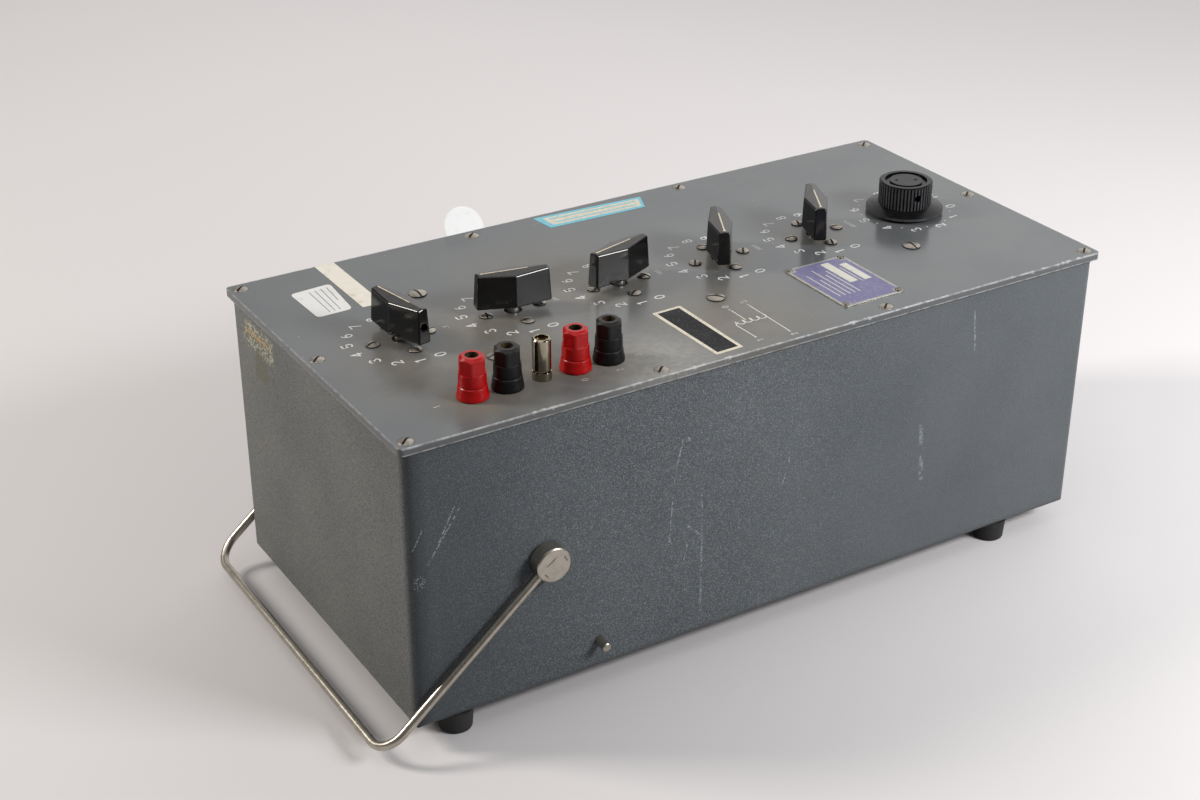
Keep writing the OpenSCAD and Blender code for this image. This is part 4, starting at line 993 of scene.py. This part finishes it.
# Profile of a rivet: radius as a share of its full one, and height
RIVET_PROFILE = ((0, 0.9), (0.45, 0.86), (0.85, 0.72), (0.97, 0.45), (1.0, 0.0))
sheets_on_panel("rating_plate", [rectangle(*PLATE, *PLATE_SIZE)], 0, PLATE_T, plate_silver, corner=2.4)
sheets_on_panel("rating_plate_field", [eared_rectangle(*PLATE_FIELD)], PLATE_T, PLATE_T + INK_T, plate_blue,
                corner=0.8, steps=3)
sheets_on_panel("rating_plate_boxes", [rectangle(*box) for box in PLATE_BOXES],
                PLATE_T + INK_T, PLATE_T + 2 * INK_T, plate_box, corner=0.3, steps=2)
sheets_on_panel("rating_plate_rules", [rectangle(x, y, RULE_W, length) for x, y, length in PLATE_RULES],
                PLATE_T + INK_T, PLATE_T + 2 * INK_T, plate_box, corner=0.15, steps=2)
rivets = bmesh.new()
for rivet in RIVETS:
    top = on_panel(*rivet) + Vector((0, 0, PLATE_T * MM))
    turned_piece(rivets, top, [(r * RIVET_R, h) for r, h in RIVET_PROFILE])
piece("rating_plate_rivets", rivets, rivet_steel, "root")

# Dark mark on the skirt of the dial: its place, the skirt's slope there and its profile, in mm and degrees
MARK_R = 18.6
MARK_Z = 4.45
MARK_SLOPE = 17.7
MARK_PROFILE = ((0, 0.06), (0.55, 0.06), (0.75, 0.03), (0.75, -0.05))
mark_place = (Matrix.Translation((dial_axis.x, dial_axis.y, PANEL_Z))
              @ Matrix.Rotation(math.radians(DIAL_ZERO - DIAL_STEP * DIAL_READING), 4, "Z")
              @ Matrix.Translation(Vector((MARK_R, 0, MARK_Z)) * MM)
              @ Matrix.Rotation(math.radians(MARK_SLOPE), 4, "Y"))
mark = bmesh.new()
turned_piece(mark, Vector(), MARK_PROFILE)
bmesh.ops.transform(mark, matrix=mark_place, verts=mark.verts)
piece("dial_mark", mark, index_paint, "dial")

# Blank label, sticker with rules in place of text, tape and a coloured label, each from its four corners
LABEL_T = 0.12
LABEL = corners((-39.2, -42.0), (-37.6, -99.1), (-21.0, -98.5), (-21.4, -41.4))
LABEL_FIELD = (0.035, 0.965, 0.12, 0.88)
STICKER = corners((-189.9, 78.1), (-189.0, 44.2), (-169.0, 45.0), (-166.2, 79.9))
STICKER_RULES = ((0.10, 0.92, 0.40), (0.10, 0.92, 0.55), (0.10, 0.92, 0.70), (0.10, 0.60, 0.85))
STICKER_RULE_W = 0.018
TAPE = corners((-163.9, 104.6), (-163.7, 43.7), (-152.3, 43.0), (-152.5, 104.6))
CYAN = corners((-28.4, 101.7), (-26.2, 84.7), (36.4, 83.3), (42.3, 98.0))
CYAN_FIELD = (0.16, 0.84, 0.06, 0.97)
CYAN_LINES = ((0.30, 0.37, 0.10, 0.93), (0.62, 0.69, 0.10, 0.93))
sheets_on_panel("blank_label", [LABEL], 0, LABEL_T, label_cream, corner=0.6)
sheets_on_panel("blank_label_field", [part_of(LABEL, *LABEL_FIELD)],
                LABEL_T, LABEL_T + INK_T, label_black, corner=0.4)
sheets_on_panel("white_sticker", [STICKER], 0, LABEL_T, paper_white, corner=3.0)
sheets_on_panel("white_sticker_rules",
                [part_of(STICKER, start, end, v, v + STICKER_RULE_W) for start, end, v in STICKER_RULES],
                LABEL_T, LABEL_T + INK_T, paper_rule, corner=0.1, steps=2)
sheets_on_panel("cream_tape", [TAPE], 0, LABEL_T, tape_cream, corner=0.4)
sheets_on_panel("edged_label", [CYAN], 0, LABEL_T, label_cyan, corner=0.4)
sheets_on_panel("edged_label_field", [part_of(CYAN, *CYAN_FIELD)],
                LABEL_T, LABEL_T + INK_T, label_cream, corner=0.3)
sheets_on_panel("edged_label_lines", [part_of(CYAN, *line) for line in CYAN_LINES],
                LABEL_T + INK_T, LABEL_T + 2 * INK_T, label_cyan, corner=0.2)

# Round paper seal, stuck on the far edge of the panel and bent back above it, in mm and degrees
SEAL_X = -70.5
SEAL_Z = 3.0
SEAL_R = 12.0
SEAL_T = 0.2
SEAL_RIM = 0.5
SEAL_TUCK = 0.05
SEAL_GAP = 0.02
SEAL_STEPS = 48
SEAL_LEAN = 32
SEAL_PROFILE = ((0, SEAL_T), (SEAL_R - SEAL_RIM, SEAL_T), (SEAL_R, SEAL_T * 0.5), (SEAL_R - SEAL_TUCK, 0))
SEAL_FOOT = Vector((PANEL_X + SEAL_X * MM, panel_high.y + SEAL_GAP * MM, PANEL_Z))
seal = bmesh.new()
turned_piece(seal, Vector((0, SEAL_Z * MM, 0)), SEAL_PROFILE, SEAL_STEPS)
bmesh.ops.bisect_plane(seal, geom=seal.verts[:] + seal.edges[:] + seal.faces[:],
                       plane_co=(0, 0, 0), plane_no=(0, 1, 0))
for corner in seal.verts:
    u, v, w = corner.co
    lean = math.radians(SEAL_LEAN) if v > 0 else 0
    back, up = v * math.sin(lean) + w * math.cos(lean), v * math.cos(lean) - w * math.sin(lean)
    corner.co = SEAL_FOOT + Vector((u, back, up))
piece("paper_seal", seal, seal_white, "root")

# Floor. It looks pale, and throws back as little light as a dark bench would
FLOOR_HALF = 9.0
FLOOR_NEAR = (0.585, 0.567, 0.571)
FLOOR_FAR = (0.86, 0.835, 0.846)
FLOOR_DIM = (0.20, 0.193, 0.194)
# Painted light: it is paler to the right and a little to the back
FLOOR_SLANT = 0.3
FLOOR_FADE = (-0.22, 0.80)
floor_mesh = bpy.data.meshes.new("floor")
floor_mesh.from_pydata([(i * FLOOR_HALF, j * FLOOR_HALF, 0) for i, j in SQUARE], [], [(0, 1, 2, 3)])
floor = bpy.data.objects.new("floor", floor_mesh)
bpy.context.scene.collection.objects.link(floor)
graph = Graph("floor", Roughness=0.9)
rays = graph.node("ShaderNodeLightPath").outputs
seen = Value(graph, rays["Is Camera Ray"])
seen = seen.atleast(rays["Is Glossy Ray"]).atleast(rays["Is Transmission Ray"])
pale = graph.mix((graph.x + graph.y * FLOOR_SLANT).rise(*FLOOR_FADE), FLOOR_NEAR, FLOOR_FAR)
graph.set("Base_Color", graph.mix(seen, FLOOR_DIM, pale))
floor_mesh.materials.append(graph.material)

# Camera, where the photograph was taken: its lens and place in mm, and its turns in degrees
CAMERA_LENS = 59.86
CAMERA_PLACE = Vector((-539.645, -828.645, 615.164))
CAMERA_TURNS = (62.279, 0.066, -31.38)
camera_data = bpy.data.cameras.new("camera")
camera_data.lens = CAMERA_LENS
camera = bpy.data.objects.new("camera", camera_data)
camera.location = CAMERA_PLACE * MM
camera.rotation_euler = [math.radians(a) for a in CAMERA_TURNS]
bpy.context.scene.collection.objects.link(camera)
bpy.context.scene.camera = camera


# Lamps


def lamp(name, kind, energy, toward, place=(0, 0, 0), colour=(1, 1, 1), **settings):
    """A lamp at a place. It lies in the direction toward, seen from what it lights."""
    data = bpy.data.lights.new(name, kind)
    data.energy = energy
    data.color = colour
    for setting, value in settings.items():
        setattr(data, setting, value)
    made = bpy.data.objects.new(name, data)
    made.location = place
    made.rotation_euler = Vector(toward).to_track_quat("Z", "Y").to_euler()
    made.visible_camera = False
    bpy.context.scene.collection.objects.link(made)


RIGHT_PLACE = Vector((0.563, -0.866, 0.749))
RIGHT_AIM = Vector((0.30, 0, 0.1))
LEFT_PLACE = Vector((-1.218, 0.746, 1.088))
LEFT_AIM = Vector((0, 0, 0.1))
lamp("overhead", "SUN", energy=0.55, toward=(-0.2, -0.12, 1.0), angle=math.radians(50))
lamp("right", "AREA", energy=12.8, toward=RIGHT_PLACE - RIGHT_AIM, place=RIGHT_PLACE,
     shape="RECTANGLE", size=0.5, size_y=0.22)
lamp("left", "AREA", energy=20.0, toward=LEFT_PLACE - LEFT_AIM, place=LEFT_PLACE, colour=(1.0, 0.95, 0.88),
     shape="RECTANGLE", size=0.36, size_y=0.56)

# Soft light from all round, brighter from above and behind the right of the object
WORLD_BRIGHT_SIDE = (0.70, 0.55, 0.45)
WORLD_TINT = (1, 0.99, 0.985, 1)
WORLD_RISE = (("From Min", 0.60), ("From Max", 1.05), ("To Min", 0.12), ("To Max", 1.2))
world = bpy.data.worlds.new("studio")
bpy.context.scene.world = world
world.use_nodes = True
tree = world.node_tree
tree.nodes.clear()
direction = tree.nodes.new("ShaderNodeTexCoord")
nearness = tree.nodes.new("ShaderNodeVectorMath")
nearness.operation = "DOT_PRODUCT"
nearness.inputs[1].default_value = WORLD_BRIGHT_SIDE
strength = tree.nodes.new("ShaderNodeMapRange")
strength.interpolation_type = "SMOOTHSTEP"
for name, number in WORLD_RISE:
    strength.inputs[name].default_value = number
sky = tree.nodes.new("ShaderNodeBackground")
sky.inputs["Color"].default_value = WORLD_TINT
output = tree.nodes.new("ShaderNodeOutputWorld")
tree.links.new(direction.outputs["Generated"], nearness.inputs[0])
tree.links.new(nearness.outputs["Value"], strength.inputs["Value"])
tree.links.new(strength.outputs["Result"], sky.inputs["Strength"])
tree.links.new(sky.outputs[0], output.inputs[0])

bpy.context.scene.view_settings.view_transform = "Standard"
